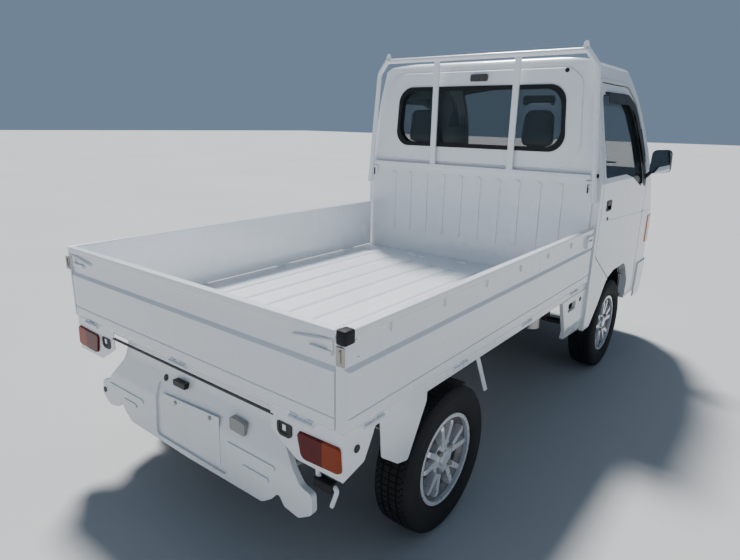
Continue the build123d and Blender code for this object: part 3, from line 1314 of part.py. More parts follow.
def frame_rails():
    """Ladder frame: two rails with a step down under the cab, and cross members."""
    low, front_high = RAIL_TOP_Z - RAIL_H, RAIL_FRONT_LOW_Z + RAIL_H
    path = [
        (RAIL_REAR_X, RAIL_TOP_Z), (RAIL_REAR_X, low), (RAIL_STEP_X, low, 40),
        (RAIL_STEP_X + 90, RAIL_FRONT_LOW_Z, 40), (RAIL_FRONT_X, RAIL_FRONT_LOW_Z),
        (RAIL_FRONT_X, front_high), (RAIL_STEP_X + 110, front_high, 40), (RAIL_STEP_X + 20, RAIL_TOP_Z, 40),
    ]
    pieces = both(along_y(path, RAIL_Y - RAIL_W / 2, RAIL_Y + RAIL_W / 2))
    for x in RAIL_CROSS_X:
        pieces.append(block(x - RAIL_CROSS_W / 2, x + RAIL_CROSS_W / 2, -RAIL_Y, RAIL_Y,
                            low + 10, RAIL_TOP_Z - 10))
    pieces.append(block(*NOSE_CROSS_X, -RAIL_Y, RAIL_Y, RAIL_FRONT_LOW_Z + 10, front_high - 10))
    for x_low, x_high, z_low, z_high in (
        (MOUNT_X - 30, MOUNT_X + 30, RAIL_TOP_Z - 5, PLATFORM_Z - PLATFORM_T - SEAT_GAP),
        (*NOSE_MOUNT_X, front_high - 5, FLOOR_Z - FLOOR_T - SEAT_GAP),
        (ARM_BEAM_X - 25, ARM_BEAM_X + 25, ARM_BEAM_TOP_Z + SEAT_GAP, low + 5),
    ):
        pieces += both(block(x_low, x_high, RAIL_Y - RAIL_PAD_HALF, RAIL_Y + RAIL_PAD_HALF, z_low, z_high))
    return fuse(*pieces)


def rear_suspension():
    """Trailing arms on a cross beam, with the stubs that the rear wheels turn on."""
    z = TYRE_R
    arm = along_z(list(TRAILING_ARM), z - ARM_HALF_H, z + ARM_HALF_H)
    beam = block(ARM_BEAM_X - 30, ARM_BEAM_X + 30, -540.0, 540.0, z + 10, ARM_BEAM_TOP_Z)
    stub = spindle(REAR_AXLE_X, ARM_STUB_Y)
    node("rear_arms", fuse(*both_list([arm, stub]), beam))
    shaft = rod((REAR_AXLE_X, TRANSAXLE_HALF + SEAT_GAP, z + 40), (REAR_AXLE_X, 500.0, z + 6), DRIVE_SHAFT_R)
    node("drive_shafts", both(cut(shaft, arm, stub, transaxle(SEAT_GAP))))


def front_knuckle():
    """Left steering knuckle: kingpin boss, back plate and wheel spindle."""
    low, high = TYRE_R - KINGPIN_BOSS_H / 2, TYRE_R + KINGPIN_BOSS_H / 2
    boss = rod((FRONT_AXLE_X, KINGPIN_Y, low), (FRONT_AXLE_X, KINGPIN_Y, high), KINGPIN_BOSS_R)
    stub = spindle(FRONT_AXLE_X, KINGPIN_Y - 14)
    bore = STUD_R + RUN_GAP
    holes = [
        rod((FRONT_AXLE_X, KINGPIN_Y, low - 1), (FRONT_AXLE_X, KINGPIN_Y, low + STUD_L + 1), bore),
        rod((FRONT_AXLE_X, KINGPIN_Y, high - STUD_L - 1), (FRONT_AXLE_X, KINGPIN_Y, high + 1), bore),
    ]
    return cut(fuse(boss, stub), holes)


def front_suspension():
    """Left lower arm and strut, with the studs that the knuckle swings on."""
    x, low, high = FRONT_AXLE_X, TYRE_R - KINGPIN_BOSS_H / 2, TYRE_R + KINGPIN_BOSS_H / 2
    arm = along_z([
        (x - 26, RAIL_Y - 20), (x + 26, RAIL_Y - 20), (x + 26, STRUT_Y, 20),
        (x + KINGPIN_BOSS_R, KINGPIN_Y - 40, 20), (x + KINGPIN_BOSS_R, KINGPIN_Y),
        (x - KINGPIN_BOSS_R, KINGPIN_Y), (x - KINGPIN_BOSS_R, KINGPIN_Y - 40, 20), (x - 26, STRUT_Y, 20),
    ], low - 20, low - SEAT_GAP)
    arm_end = rod((x, KINGPIN_Y, low - 20), (x, KINGPIN_Y, low - SEAT_GAP), KINGPIN_BOSS_R)
    hanger = block(x - 26, x + 26, RAIL_Y - 20, RAIL_Y + 20, low - 20, RAIL_TOP_Z - RAIL_H - SEAT_GAP)
    lower_stud = rod((x, KINGPIN_Y, low - 4), (x, KINGPIN_Y, low + STUD_L), STUD_R)
    upper_stud = rod((x, KINGPIN_Y, high - STUD_L), (x, KINGPIN_Y, high + 4), STUD_R)
    bracket = block(x - KINGPIN_BOSS_R, x + KINGPIN_BOSS_R, STRUT_Y, KINGPIN_Y, high + SEAT_GAP, high + 16)
    bracket_end = rod((x, KINGPIN_Y, high + SEAT_GAP), (x, KINGPIN_Y, high + 16), KINGPIN_BOSS_R)
    strut = rod((x, STRUT_Y, high + SEAT_GAP), (x, STRUT_Y, STRUT_TOP_Z), STRUT_R)
    damper = rod((x, STRUT_Y, STRUT_TOP_Z - 10), (x, STRUT_Y, HOUSE_TOP_Z - SEAT_GAP), DAMPER_R)
    spring_seat = rod((x, STRUT_Y, STRUT_TOP_Z + 6), (x, STRUT_Y, STRUT_TOP_Z + 14), SPRING_SEAT_R)
    lower = fuse(arm, arm_end, hanger, lower_stud)
    return [lower, fuse(bracket, bracket_end, strut, damper, spring_seat, upper_stud)]


def steering_wheel():
    """Three-spoke steering wheel on its raked axis."""
    plane = Plane(STEER_CENTRE, z_dir=STEER_DIR)
    hub = Pos(0, 0, STEER_HUB_LOW + STEER_HUB_H / 2) * Cylinder(STEER_HUB_R, STEER_HUB_H)
    pieces = [Torus(STEER_R, STEER_GRIP_R), hub]
    reach = STEER_R - STEER_HUB_R + 20
    for angle in STEER_SPOKES:
        bar = Pos(STEER_HUB_R - 10 + reach / 2, 0, -4) * Box(reach, STEER_SPOKE_W, STEER_SPOKE_T)
        pieces.append(Rot(0, 0, angle) * bar)
    bore = Pos(0, 0, STEER_HUB_LOW + STEER_SHAFT_L / 2) * Cylinder(STEER_SHAFT_R + RUN_GAP, STEER_SHAFT_L + 4)
    return plane * cut(fuse(*pieces), bore)


def steering_column():
    """Column tube from below the wheel to the toe board, with the shaft's end in the wheel's bore."""
    plane = Plane(STEER_CENTRE, z_dir=STEER_DIR)
    tube = Pos(0, 0, STEER_HUB_LOW - SEAT_GAP - COLUMN_L / 2) * Cylinder(COLUMN_R, COLUMN_L)
    tip = Pos(0, 0, STEER_HUB_LOW + STEER_SHAFT_L / 2 - 1) * Cylinder(STEER_SHAFT_R, STEER_SHAFT_L)
    return plane * fuse(tube, tip)


def cabin_nodes():
    """Dashboard, steering, seats and inside mirror."""
    column = steering_column()
    sleeve = Plane(STEER_CENTRE, z_dir=STEER_DIR) * (Pos(0, 0, -400) * Cylinder(COLUMN_R + SEAT_GAP, 900))
    dash = cab_body(CAB_WALL + SEAT_GAP) & along_y(list(DASH_FORM), -CAB_HALF, CAB_HALF)
    node("dashboard", cut(dash, sleeve))
    floor = along_y(grown(FLOOR_OUTLINE, SEAT_GAP), -CAB_HALF, CAB_HALF)
    node("steering_column", cut(column, floor))
    node("steering_wheel", steering_wheel())
    cushions, backs = [], []
    for turn in (1, -1):
        y_low, y_high = sorted((turn * SEAT_INNER_Y, turn * SEAT_OUTER_Y))
        cushions.append(along_y(list(CUSHION_FORM), y_low, y_high))
        backs.append(along_y(list(SEAT_BACK_FORM), y_low, y_high))
    for y in HEADRESTS_Y:
        backs.append(along_y(list(HEADREST_FORM), y - HEADREST_HALF, y + HEADREST_HALF))
    node("seat_cushions", cushions)
    node("seat_backs", backs)
    glass = along_x(list(INSIDE_MIRROR), *INSIDE_MIRROR_X)
    stem = rod(*INSIDE_MIRROR_STEM, INSIDE_MIRROR_STEM_R)
    node("inside_mirror", fuse(glass, stem) & cab_body(GLASS_INSET + GLASS_T + SEAT_GAP))
    visor = block(*SUN_VISOR_X, *SUN_VISOR_Y, BELT_Z, HEIGHT)
    node("sun_visors", both(layer(visor, CAB_WALL + SEAT_GAP, CAB_WALL + SUN_VISOR_T)))


def front_nodes():
    """Bumper with its air slot, grille bars, headlamps, turn lamps and wipers at the nose."""
    end = CAB_NOSE_LIMIT_X + 60
    band = block(BUMPER_REAR_X, end, -CAB_HALF - 60, CAB_HALF + 60, *BUMPER_Z)
    node("front_bumper", cut(layer(band, -BUMPER_PROUD, -SEAT_GAP), nose(air_slot(0.0))))
    grille = [layer(nose(air_slot(SEAT_GAP)), -NOSE_LAMP_PROUD, -SEAT_GAP)]
    for index in range(GRILLE_BARS):
        z = GRILLE_LOW_Z + (index + 0.5) * GRILLE_PITCH
        bar = block(NOSE_REAR_X, end, -GRILLE_HALF + 6, GRILLE_HALF - 6,
                    z - GRILLE_BAR_H / 2, z + GRILLE_BAR_H / 2)
        grille.append(layer(bar, -GRILLE_BAR_PROUD, -SEAT_GAP))
    node("front_grille", fuse(*grille))
    node("headlamps", both(layer(nose(HEADLAMP), -NOSE_LAMP_PROUD, -SEAT_GAP)))
    node("front_turn_lamps", both(layer(nose(TURN_LAMP), -NOSE_LAMP_PROUD, -SEAT_GAP)))
    node("wipers", wipers())


def air_slot(shrink):
    """Outline of the bumper's air slot, made smaller by shrink."""
    half, low = GRILLE_HALF - shrink, GRILLE_LOW_Z + shrink
    high = GRILLE_LOW_Z + GRILLE_BARS * GRILLE_PITCH - shrink
    return [(-half, low, 10), (half, low, 10), (half, high, 10), (-half, high, 10)]


def wipers():
    """Two wiper arms with their blades at rest on the foot of the windscreen."""
    arms = []
    for pivot_y, tip_y in WIPERS_Y:
        pivot = rod((NOSE_REAR_X, pivot_y, WIPER_PIVOT_Z), (CAB_NOSE_LIMIT_X, pivot_y, WIPER_PIVOT_Z),
                    WIPER_PIVOT_R)
        middle_y = (pivot_y + tip_y) / 2
        arm = nose([
            (pivot_y, WIPER_PIVOT_Z - 7), (pivot_y, WIPER_PIVOT_Z + 7), (middle_y, WIPER_BLADE_Z + 6),
            (middle_y, WIPER_BLADE_Z - 6),
        ])
        y_low, y_high = sorted((pivot_y + (tip_y - pivot_y) / 8, tip_y))
        blade = nose([
            (y_low, WIPER_BLADE_Z - 6), (y_high, WIPER_BLADE_Z - 6), (y_high, WIPER_BLADE_Z + 6),
            (y_low, WIPER_BLADE_Z + 6),
        ])
        arms.append(fuse(
            layer(pivot, -WIPER_PROUD, -SEAT_GAP),
            layer(arm, -WIPER_PROUD, -WIPER_PROUD + WIPER_ARM_T),
            layer(blade, -WIPER_PROUD, GLASS_INSET - SEAT_GAP),
        ))
    return arms


def quarter_panel():
    """Left panel behind the door: a folded section with its lower part tucked in, and a hole."""
    outer, top = QUARTER_Y, SILL_BOTTOM_Z - SEAT_GAP
    section = along_x([
        (outer, top), (outer, QUARTER_FOLD_Z, 40), (outer - QUARTER_TUCK, QUARTER_LOW_Z - 10),
        (outer - QUARTER_TUCK - QUARTER_T, QUARTER_LOW_Z - 10), (outer - QUARTER_T, QUARTER_FOLD_Z, 40),
        (outer - QUARTER_T, top),
    ], QUARTER_REAR_X, CAB_REAR_X - SEAT_GAP)
    side = along_y([
        (QUARTER_REAR_X, top), (QUARTER_FOOT_X, QUARTER_LOW_Z + 17, 20),
        (CAB_REAR_X - SEAT_GAP, QUARTER_LOW_Z), (CAB_REAR_X - SEAT_GAP, top),
    ], SILL_Y - 60, SILL_Y + 20)
    x_low, x_high, z_low, z_high = QUARTER_HOLE
    hole = along_y([(x_low, z_low, 10), (x_high, z_low, 10), (x_high, z_high, 10), (x_low, z_high, 10)],
                   SILL_Y - 60, SILL_Y + 20)
    return cut(section & side, hole)


def underbody_nodes():
    """Quarter panels, rear guards with their stays, tank, canister, silencer and tow hook."""
    node("quarter_panels", both(quarter_panel()))
    top, sheet_y = SILL_BOTTOM_Z - SEAT_GAP, SILL_Y - SILL_T
    guard = along_y(list(GUARD_SHEET), sheet_y, sheet_y + SHEET)
    (x_low, z_low), half_w = STAY_LOW, STAY_W / 2
    stay = along_y([
        (STAY_TOP_X - half_w, top), (x_low - half_w, z_low), (x_low + half_w, z_low),
        (STAY_TOP_X + half_w, top),
    ], sheet_y, sheet_y + SHEET)
    node("rear_guards", both_list([guard, stay]))
    node("fuel_tank", block(*TANK_X, TANK_INNER_Y, RAIL_Y - RAIL_W / 2 - SEAT_GAP, *TANK_Z))
    x, y = CANISTER_PLACE
    node("canister", rod((x, y, CANISTER_LOW_Z), (x, y, RAIL_TOP_Z - SEAT_GAP), CANISTER_R))
    silencer = rod((SILENCER_X, -SILENCER_HALF, SILENCER_Z), (SILENCER_X, SILENCER_HALF, SILENCER_Z),
                   SILENCER_R)
    strap = block(SILENCER_X - 6, SILENCER_X + 6, RAIL_Y - 10, RAIL_Y + 10,
                  SILENCER_Z, RAIL_TOP_Z - RAIL_H - SEAT_GAP)
    node("silencer", fuse(silencer, *both(strap)))
    node("tow_hook", tow_hook())
    node("black_trim", black_trim())
    node("plates", plates())


def main():
    """Build every node and write one STEP file for each."""
    wheel_nodes()
    cab_nodes()
    node("bed_deck", fuse(bed_deck(), *both_list(side_hinge_straps()), *tail_hinge_straps()))
    gate = side_gate()
    node("side_gate_left", gate)
    node("side_gate_right", flip(gate))
    node("tailgate", tail_gate())
    node("headboard", headboard())
    node("guard_frame", guard_frame())
    node("rear_panel", rear_panel())
    lamp_nodes()
    engine_nodes()
    node("ladder_frame", frame_rails())
    rear_suspension()
    knuckle = front_knuckle()
    node("knuckle_left", knuckle)
    node("knuckle_right", flip(knuckle))
    node("front_suspension", both_list(front_suspension()))
    cabin_nodes()
    front_nodes()
    underbody_nodes()
    for name, solids in NODES.items():
        export_step(Compound(children=solids) if len(solids) > 1 else solids[0], f"parts/{name}.step")


main()
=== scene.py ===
"""Looks for the kei truck: finishes, tread, cloth seats, fittings, studio and camera.

Metres in the truck's own frame: +X forward, +Y left, +Z up, origin on the ground.
"""

import json
import logging
import math
from collections.abc import Callable, Iterable, Sequence
from dataclasses import dataclass, field
from enum import Enum

import bmesh
import bpy
from mathutils import Matrix, Vector

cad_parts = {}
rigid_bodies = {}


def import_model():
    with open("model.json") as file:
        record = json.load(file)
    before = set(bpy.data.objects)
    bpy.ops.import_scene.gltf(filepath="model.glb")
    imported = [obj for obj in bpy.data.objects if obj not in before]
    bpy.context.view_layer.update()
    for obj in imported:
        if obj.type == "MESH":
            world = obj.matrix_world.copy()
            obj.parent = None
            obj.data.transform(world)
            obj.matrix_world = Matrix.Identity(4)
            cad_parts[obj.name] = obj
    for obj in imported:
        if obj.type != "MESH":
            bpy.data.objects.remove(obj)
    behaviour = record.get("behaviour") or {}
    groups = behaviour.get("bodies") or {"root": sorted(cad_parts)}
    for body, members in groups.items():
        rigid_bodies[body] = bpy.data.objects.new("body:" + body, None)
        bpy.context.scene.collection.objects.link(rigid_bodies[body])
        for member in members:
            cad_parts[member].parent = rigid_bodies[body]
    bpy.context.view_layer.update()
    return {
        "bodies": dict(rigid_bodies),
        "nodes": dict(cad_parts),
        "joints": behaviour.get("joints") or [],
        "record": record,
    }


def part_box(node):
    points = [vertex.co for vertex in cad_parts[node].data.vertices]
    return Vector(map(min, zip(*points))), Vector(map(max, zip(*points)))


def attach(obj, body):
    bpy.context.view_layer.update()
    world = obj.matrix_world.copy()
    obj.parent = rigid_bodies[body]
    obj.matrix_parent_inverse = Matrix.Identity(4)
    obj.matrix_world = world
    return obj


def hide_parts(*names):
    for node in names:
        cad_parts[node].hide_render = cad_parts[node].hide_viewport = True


LOG = logging.getLogger("kei_truck")
SIDES: dict[str, int] = {"left": 1, "right": -1}
AXLES_X: dict[str, float] = {"front": 0.795, "rear": -1.090}
AXLE_Z = 0.271

Place = tuple[float, float, float]
Pair = tuple[float, float]
Piece = bpy.types.Object
Socket = bpy.types.NodeSocket
Tree = bpy.types.NodeTree

# Share of a face's direction that counts as facing along an axis
FACING = 0.9
# Points nearer than this are one, and a turned outline starts as a plane of this size
MERGE_GAP = 1e-5
SEED_SIZE = 0.001

# Gloss, wear, dust and relief that all finishes share
COAT_ROUGHNESS = 0.06
LEAST_ROUGHNESS = 0.02
GLOSS_SPREAD: Pair = (0.8, 1.25)
WEAR_DETAIL = 8.0
WORN_NOISE: Pair = (0.42, 0.78)
WORN_SHADE = 0.86
DUST_COLOUR: Place = (0.33, 0.29, 0.24)
DUST_FULL_Z = 0.15
DUST_SHARE = 0.35
RELIEF_DEPTH = 0.001
WEAVE_DISTORTION = 0.4
BRUSHED_STRETCH: Place = (1.0, 0.02, 1.0)

# Domed end: straight share of the height, then the rise and narrowing of each step
DOME_STRAIGHT = 0.6
DOME_STEPS: tuple[Pair, ...] = ((0.28, 0.72), (0.12, 0.5))
DOME_CREASE = 50.0
# Bar: faces round it, and its ends' bevel as a share of its radius
BAR_SIDES = 16
BAR_ROUNDING = 0.25
BAR_CREASE = 40.0


class Pattern(Enum):
    """Kinds of fine surface relief."""

    NONE = "none"
    ORANGE_PEEL = "orange peel"
    GRAIN = "grain"
    CAST = "cast"
    BRUSHED = "brushed"
    WEAVE = "weave"
    LENS = "lens"


RELIEF_NODES: dict[Pattern, str] = {
    Pattern.WEAVE: "TexWave", Pattern.LENS: "TexWave", Pattern.GRAIN: "TexVoronoi",
}


def add_node(tree: Tree, kind: str, inputs: dict[str | int, object]) -> bpy.types.Node:
    """Adds a shader node and feeds its inputs.

    Args:
        tree: The material's node tree.
        kind: The node's type without its prefix.
        inputs: A value or another node's socket for each input.

    Returns:
        The node.
    """
    node = tree.nodes.new(f"ShaderNode{kind}")
    for key, value in inputs.items():
        if isinstance(value, Socket):
            tree.links.new(value, node.inputs[key])
        else:
            node.inputs[key].default_value = value
    return node


def worked_out(tree: Tree, operation: str, *values: object) -> Socket:
    """Adds a node of arithmetic.

    Args:
        tree: The material's node tree.
        operation: What it works out.
        values: Its numbers or sockets, in order.

    Returns:
        The result's socket.
    """
    node = add_node(tree, "Math", dict(enumerate(values)))
    node.operation = operation
    return node.outputs["Value"]


def mixed(tree: Tree, share: object, first: object, second: Place) -> Socket:
    """Gives the socket of a first colour with a share of a second one in it."""
    mix = add_node(tree, "MixRGB", {"Fac": share, "Color1": first, "Color2": (*second, 1.0)})
    return mix.outputs["Color"]


@dataclass(frozen=True)
class Finish:
    """One surface finish: colours, gloss, soiling and relief."""

    name: str
    colour: Place
    roughness: float
    metallic: float = 0.0
    coat: float = 0.0
    worn_colour: Place | None = None
    wear_scale: float = 12.0
    wear_amount: float = 0.25
    dust_top: float = 0.0
    pattern: Pattern = Pattern.NONE
    relief: float = 0.1
    relief_scale: float = 400.0
    specular: float = 0.5
    alpha: float = 1.0
    sheen: float = 0.0
    split_y: float | None = None
    split_colour: Place | None = None

    def material(self) -> bpy.types.Material:
        """Makes the finish's node material, once.

        Returns:
            The material of this finish.
        """
        name = f"{self.name}_finish"
        known = bpy.data.materials.get(name)
        if known is not None:
            return known
        material = bpy.data.materials.new(name)
        material.use_nodes = True
        tree = material.node_tree
        shader = tree.nodes["Principled BSDF"]
        settings = {
            "Base Color": (*self.colour, 1.0), "Metallic": self.metallic, "Coat Weight": self.coat,
            "Coat Roughness": COAT_ROUGHNESS, "Specular IOR Level": self.specular, "Alpha": self.alpha,
            "Sheen Weight": self.sheen,
        }
        for key, value in settings.items():
            shader.inputs[key].default_value = value
        place = add_node(tree, "TexCoord", {}).outputs["Object"]
        wear = add_node(tree, "TexNoise", {"Scale": self.wear_scale, "Detail": WEAR_DETAIL, "Vector": place})
        tree.links.new(self._colour(tree, place, wear.outputs["Fac"]), shader.inputs["Base Color"])
        gloss = add_node(tree, "MapRange", {
            "To Min": max(LEAST_ROUGHNESS, self.roughness * GLOSS_SPREAD[0]),
            "To Max": min(1.0, self.roughness * GLOSS_SPREAD[1]), "Value": wear.outputs["Fac"],
        })
        tree.links.new(gloss.outputs["Result"], shader.inputs["Roughness"])
        if self.pattern is not Pattern.NONE:
            tree.links.new(self._relief(tree, place), shader.inputs["Normal"])
        return material

    def _colour(self, tree: Tree, place: Socket, wear: Socket) -> Socket:
        """Mixes worn patches, a second lens colour and low dust into the base colour.

        Args:
            tree: The material's node tree.
            place: The socket that gives the place on the truck.
            wear: The large noise's socket.

        Returns:
            The colour's socket.
        """
        worn = self.worn_colour or tuple(c * WORN_SHADE for c in self.colour)
        patches = add_node(tree, "MapRange", {"From Min": WORN_NOISE[0], "From Max": WORN_NOISE[1],
                                              "To Max": self.wear_amount, "Value": wear})
        result = mixed(tree, patches.outputs["Result"], (*self.colour, 1.0), worn)
        axes = add_node(tree, "SeparateXYZ", {"Vector": place})
        if self.split_y is not None:
            width = worked_out(tree, "ABSOLUTE", axes.outputs["Y"])
            result = mixed(tree, worked_out(tree, "GREATER_THAN", width, self.split_y), result,
                           self.split_colour)
        if self.dust_top > 0:
            low = add_node(tree, "MapRange", {"From Min": self.dust_top, "From Max": DUST_FULL_Z,
                                              "To Max": DUST_SHARE, "Value": axes.outputs["Z"]})
            result = mixed(tree, worked_out(tree, "MULTIPLY", low.outputs["Result"], wear), result,
                           DUST_COLOUR)
        return result

    def _relief(self, tree: Tree, place: Socket) -> Socket:
        """Makes the finish's fine relief as bump.

        Args:
            tree: The material's node tree.
            place: The socket that gives the place on the truck.

        Returns:
            The bumped direction's socket.
        """
        mapping = add_node(tree, "Mapping", {"Vector": place})
        if self.pattern is Pattern.BRUSHED:
            mapping.inputs["Scale"].default_value = BRUSHED_STRETCH
        relief = add_node(tree, RELIEF_NODES.get(self.pattern, "TexNoise"),
                          {"Scale": self.relief_scale, "Vector": mapping.outputs["Vector"]})
        if self.pattern in (Pattern.WEAVE, Pattern.LENS):
            woven = self.pattern is Pattern.WEAVE
            relief.inputs["Distortion"].default_value = WEAVE_DISTORTION if woven else 0.0
            relief.bands_direction = "DIAGONAL" if woven else "Z"
        height = relief.outputs.get("Fac") or relief.outputs["Distance"]
        bump = add_node(tree, "Bump", {"Strength": self.relief, "Distance": RELIEF_DEPTH, "Height": height})
        return bump.outputs["Normal"]

    def dress(self, piece: Piece) -> None:
        """Gives the finish to a whole piece."""
        piece.data.materials.clear()
        piece.data.materials.append(self.material())


WHITE_PAINT = Finish(
    "white_paint", (0.85, 0.87, 0.89), 0.26, coat=0.8, worn_colour=(0.79, 0.81, 0.83), wear_scale=3.0,
    wear_amount=0.2, dust_top=0.50, pattern=Pattern.ORANGE_PEEL, relief=0.02, relief_scale=260.0)
FRAME_BLACK = Finish(
    "frame_black", (0.022, 0.022, 0.022), 0.62, worn_colour=(0.09, 0.075, 0.06), wear_amount=0.6,
    dust_top=0.6, pattern=Pattern.CAST, relief=0.25, relief_scale=160.0)
UNDERSEAL = Finish(
    "underseal", (0.020, 0.020, 0.021), 0.85, specular=0.25, worn_colour=(0.07, 0.062, 0.052),
    wear_amount=0.5, pattern=Pattern.CAST, relief=0.5, relief_scale=90.0)
TYRE_RUBBER = Finish(
    "tyre_rubber", (0.016, 0.016, 0.017), 0.78, specular=0.3, worn_colour=(0.040, 0.037, 0.033),
    wear_scale=9.0, wear_amount=0.5, pattern=Pattern.GRAIN, relief=0.12, relief_scale=700.0)
BLACK_RUBBER = Finish(
    "black_rubber", (0.010, 0.010, 0.011), 0.60, specular=0.3, wear_amount=0.4, pattern=Pattern.GRAIN,
    relief=0.08, relief_scale=500.0)
ALLOY = Finish(
    "alloy", (0.86, 0.87, 0.89), 0.28, metallic=0.45, coat=0.5, worn_colour=(0.6, 0.59, 0.57),
    wear_scale=20.0, wear_amount=0.25, pattern=Pattern.ORANGE_PEEL, relief=0.03, relief_scale=300.0)
# Darker alloy for the faces inside the wheel barrels
DARK_BARREL_ALLOY = Finish(
    "dark_barrel_alloy", (0.24, 0.235, 0.23), 0.5, metallic=0.6, worn_colour=(0.07, 0.065, 0.06),
    wear_scale=24.0, wear_amount=0.6)
CAST_IRON = Finish(
    "cast_iron", (0.05, 0.044, 0.038), 0.75, metallic=0.5, worn_colour=(0.14, 0.08, 0.045),
    wear_scale=14.0, wear_amount=0.6, pattern=Pattern.CAST, relief=0.5, relief_scale=140.0)
STEEL = Finish(
    "steel", (0.42, 0.41, 0.39), 0.42, metallic=1.0, worn_colour=(0.24, 0.18, 0.13), wear_scale=10.0,
    wear_amount=0.45, pattern=Pattern.BRUSHED, relief=0.15, relief_scale=220.0)
CHROME = Finish(
    "chrome", (0.78, 0.79, 0.80), 0.12, metallic=1.0, worn_colour=(0.5, 0.5, 0.5), wear_amount=0.2)
TINTED_GLASS = Finish("tinted_glass", (0.034, 0.056, 0.062), 0.03, wear_amount=0.05, alpha=0.30)
TAIL_LENS = Finish(
    "tail_lens", (0.13, 0.003, 0.003), 0.16, coat=0.08, specular=0.22, worn_colour=(0.07, 0.002, 0.002),
    wear_scale=40.0, wear_amount=0.7, pattern=Pattern.LENS, relief=0.5, relief_scale=60.0, split_y=0.650,
    split_colour=(0.30, 0.036, 0.002))
AMBER_LENS = Finish(
    "amber_lens", (0.74, 0.16, 0.008), 0.16, coat=0.8, pattern=Pattern.LENS, relief=0.5,
    relief_scale=60.0)
CLEAR_LENS = Finish(
    "clear_lens", (0.13, 0.145, 0.16), 0.10, metallic=0.2, coat=0.9, pattern=Pattern.LENS, relief=0.9,
    relief_scale=22.0)
REVERSING_LENS = Finish(
    "reversing_lens", (0.30, 0.30, 0.27), 0.18, coat=0.8, pattern=Pattern.LENS, relief=0.8,
    relief_scale=60.0)
ROOF_LENS = Finish(
    "roof_lens", (0.045, 0.043, 0.040), 0.25, coat=0.5, pattern=Pattern.LENS, relief=0.5,
    relief_scale=60.0)
BLACK_PLASTIC = Finish(
    "black_plastic", (0.013, 0.013, 0.014), 0.45, specular=0.4, wear_amount=0.3, pattern=Pattern.GRAIN,
    relief=0.15, relief_scale=600.0)
GREY_PLASTIC = Finish(
    "grey_plastic", (0.075, 0.077, 0.08), 0.6, wear_amount=0.3, pattern=Pattern.GRAIN, relief=0.2,
    relief_scale=500.0)
HEADLINER = Finish(
    "headliner", (0.42, 0.42, 0.40), 0.9, wear_amount=0.2, pattern=Pattern.GRAIN, relief=0.2,
    relief_scale=300.0)
SEAT_CLOTH = Finish(
    "seat_cloth", (0.040, 0.041, 0.045), 0.9, worn_colour=(0.075, 0.075, 0.08), wear_scale=18.0,
    wear_amount=0.5, pattern=Pattern.WEAVE, relief=0.35, relief_scale=420.0, sheen=0.25)
SILVERED = Finish("silvered", (0.85, 0.87, 0.88), 0.03, metallic=1.0, wear_amount=0.02)
PLATE_WHITE = Finish(
    "plate_white", (0.90, 0.91, 0.90), 0.38, coat=0.2, worn_colour=(0.8, 0.8, 0.78), wear_amount=0.3,
    pattern=Pattern.ORANGE_PEEL, relief=0.05, relief_scale=120.0)
STUDIO_FLOOR = Finish("studio_floor", (0.47, 0.47, 0.46), 0.8, wear_scale=0.4, wear_amount=0.2)

# Finishes by the record's slots: those of the slot's own name, then the others
SLOT_FINISHES: dict[str, Finish] = {finish.name: finish for finish in (
    WHITE_PAINT, ALLOY, STEEL, AMBER_LENS, CLEAR_LENS, BLACK_PLASTIC, GREY_PLASTIC, BLACK_RUBBER, SEAT_CLOTH,
    PLATE_WHITE,
)}
SLOT_FINISHES |= {
    "black_paint": FRAME_BLACK, "tyre": TYRE_RUBBER, "iron": CAST_IRON, "glass": TINTED_GLASS,
    "red_lens": TAIL_LENS, "mirror": SILVERED,
}
NODE_FINISHES: dict[str, Finish] = {"reversing_lamp": REVERSING_LENS, "roof_lamp": ROOF_LENS}


def deselect() -> None:
    """Leaves object mode with nothing selected."""
    if bpy.context.object is not None and bpy.context.object.mode != "OBJECT":
        bpy.ops.object.mode_set(mode="OBJECT")
    bpy.ops.object.select_all(action="DESELECT")


def activate(piece: Piece) -> None:
    """Leaves object mode with one piece selected and active.

    Args:
        piece: The piece.
    """
    deselect()
    piece.select_set(True)
    bpy.context.view_layer.objects.active = piece


def opened(name: str) -> Piece:
    """Names the newest piece, puts its place into its mesh and opens it for editing.

    Args:
        name: The piece's name.

    Returns:
        The piece, in edit mode.
    """
    piece = bpy.context.object
    piece.name = name
    bpy.ops.object.transform_apply(location=True, rotation=True, scale=True)
    bpy.ops.object.mode_set(mode="EDIT")
    return piece


def settle(piece: Piece) -> None:
    """Leaves edit mode and puts a piece's place into its mesh.

    Args:
        piece: The piece.
    """
    activate(piece)
    bpy.ops.object.transform_apply(location=True, rotation=True, scale=True)
    piece.select_set(False)


def pick_faces(test: Callable[[bmesh.types.BMFace], bool]) -> None:
    """Selects the faces of the piece in edit mode that pass a test.

    Args:
        test: Says of one face whether it is wanted.
    """
    bpy.ops.mesh.select_mode(type="FACE")
    bpy.ops.mesh.select_all(action="DESELECT")
    mesh = bmesh.from_edit_mesh(bpy.context.object.data)
    for face in mesh.faces:
        face.select_set(test(face))
    mesh.select_flush_mode()
    bmesh.update_edit_mesh(bpy.context.object.data)


def smooth(piece: Piece, angle: float) -> None:
    """Shades a piece smooth across its softer edges.

    Args:
        piece: The piece.
        angle: Edges sharper than this stay sharp, in degrees.
    """
    activate(piece)
    bpy.ops.object.shade_smooth_by_angle(angle=math.radians(angle))
    piece.select_set(False)


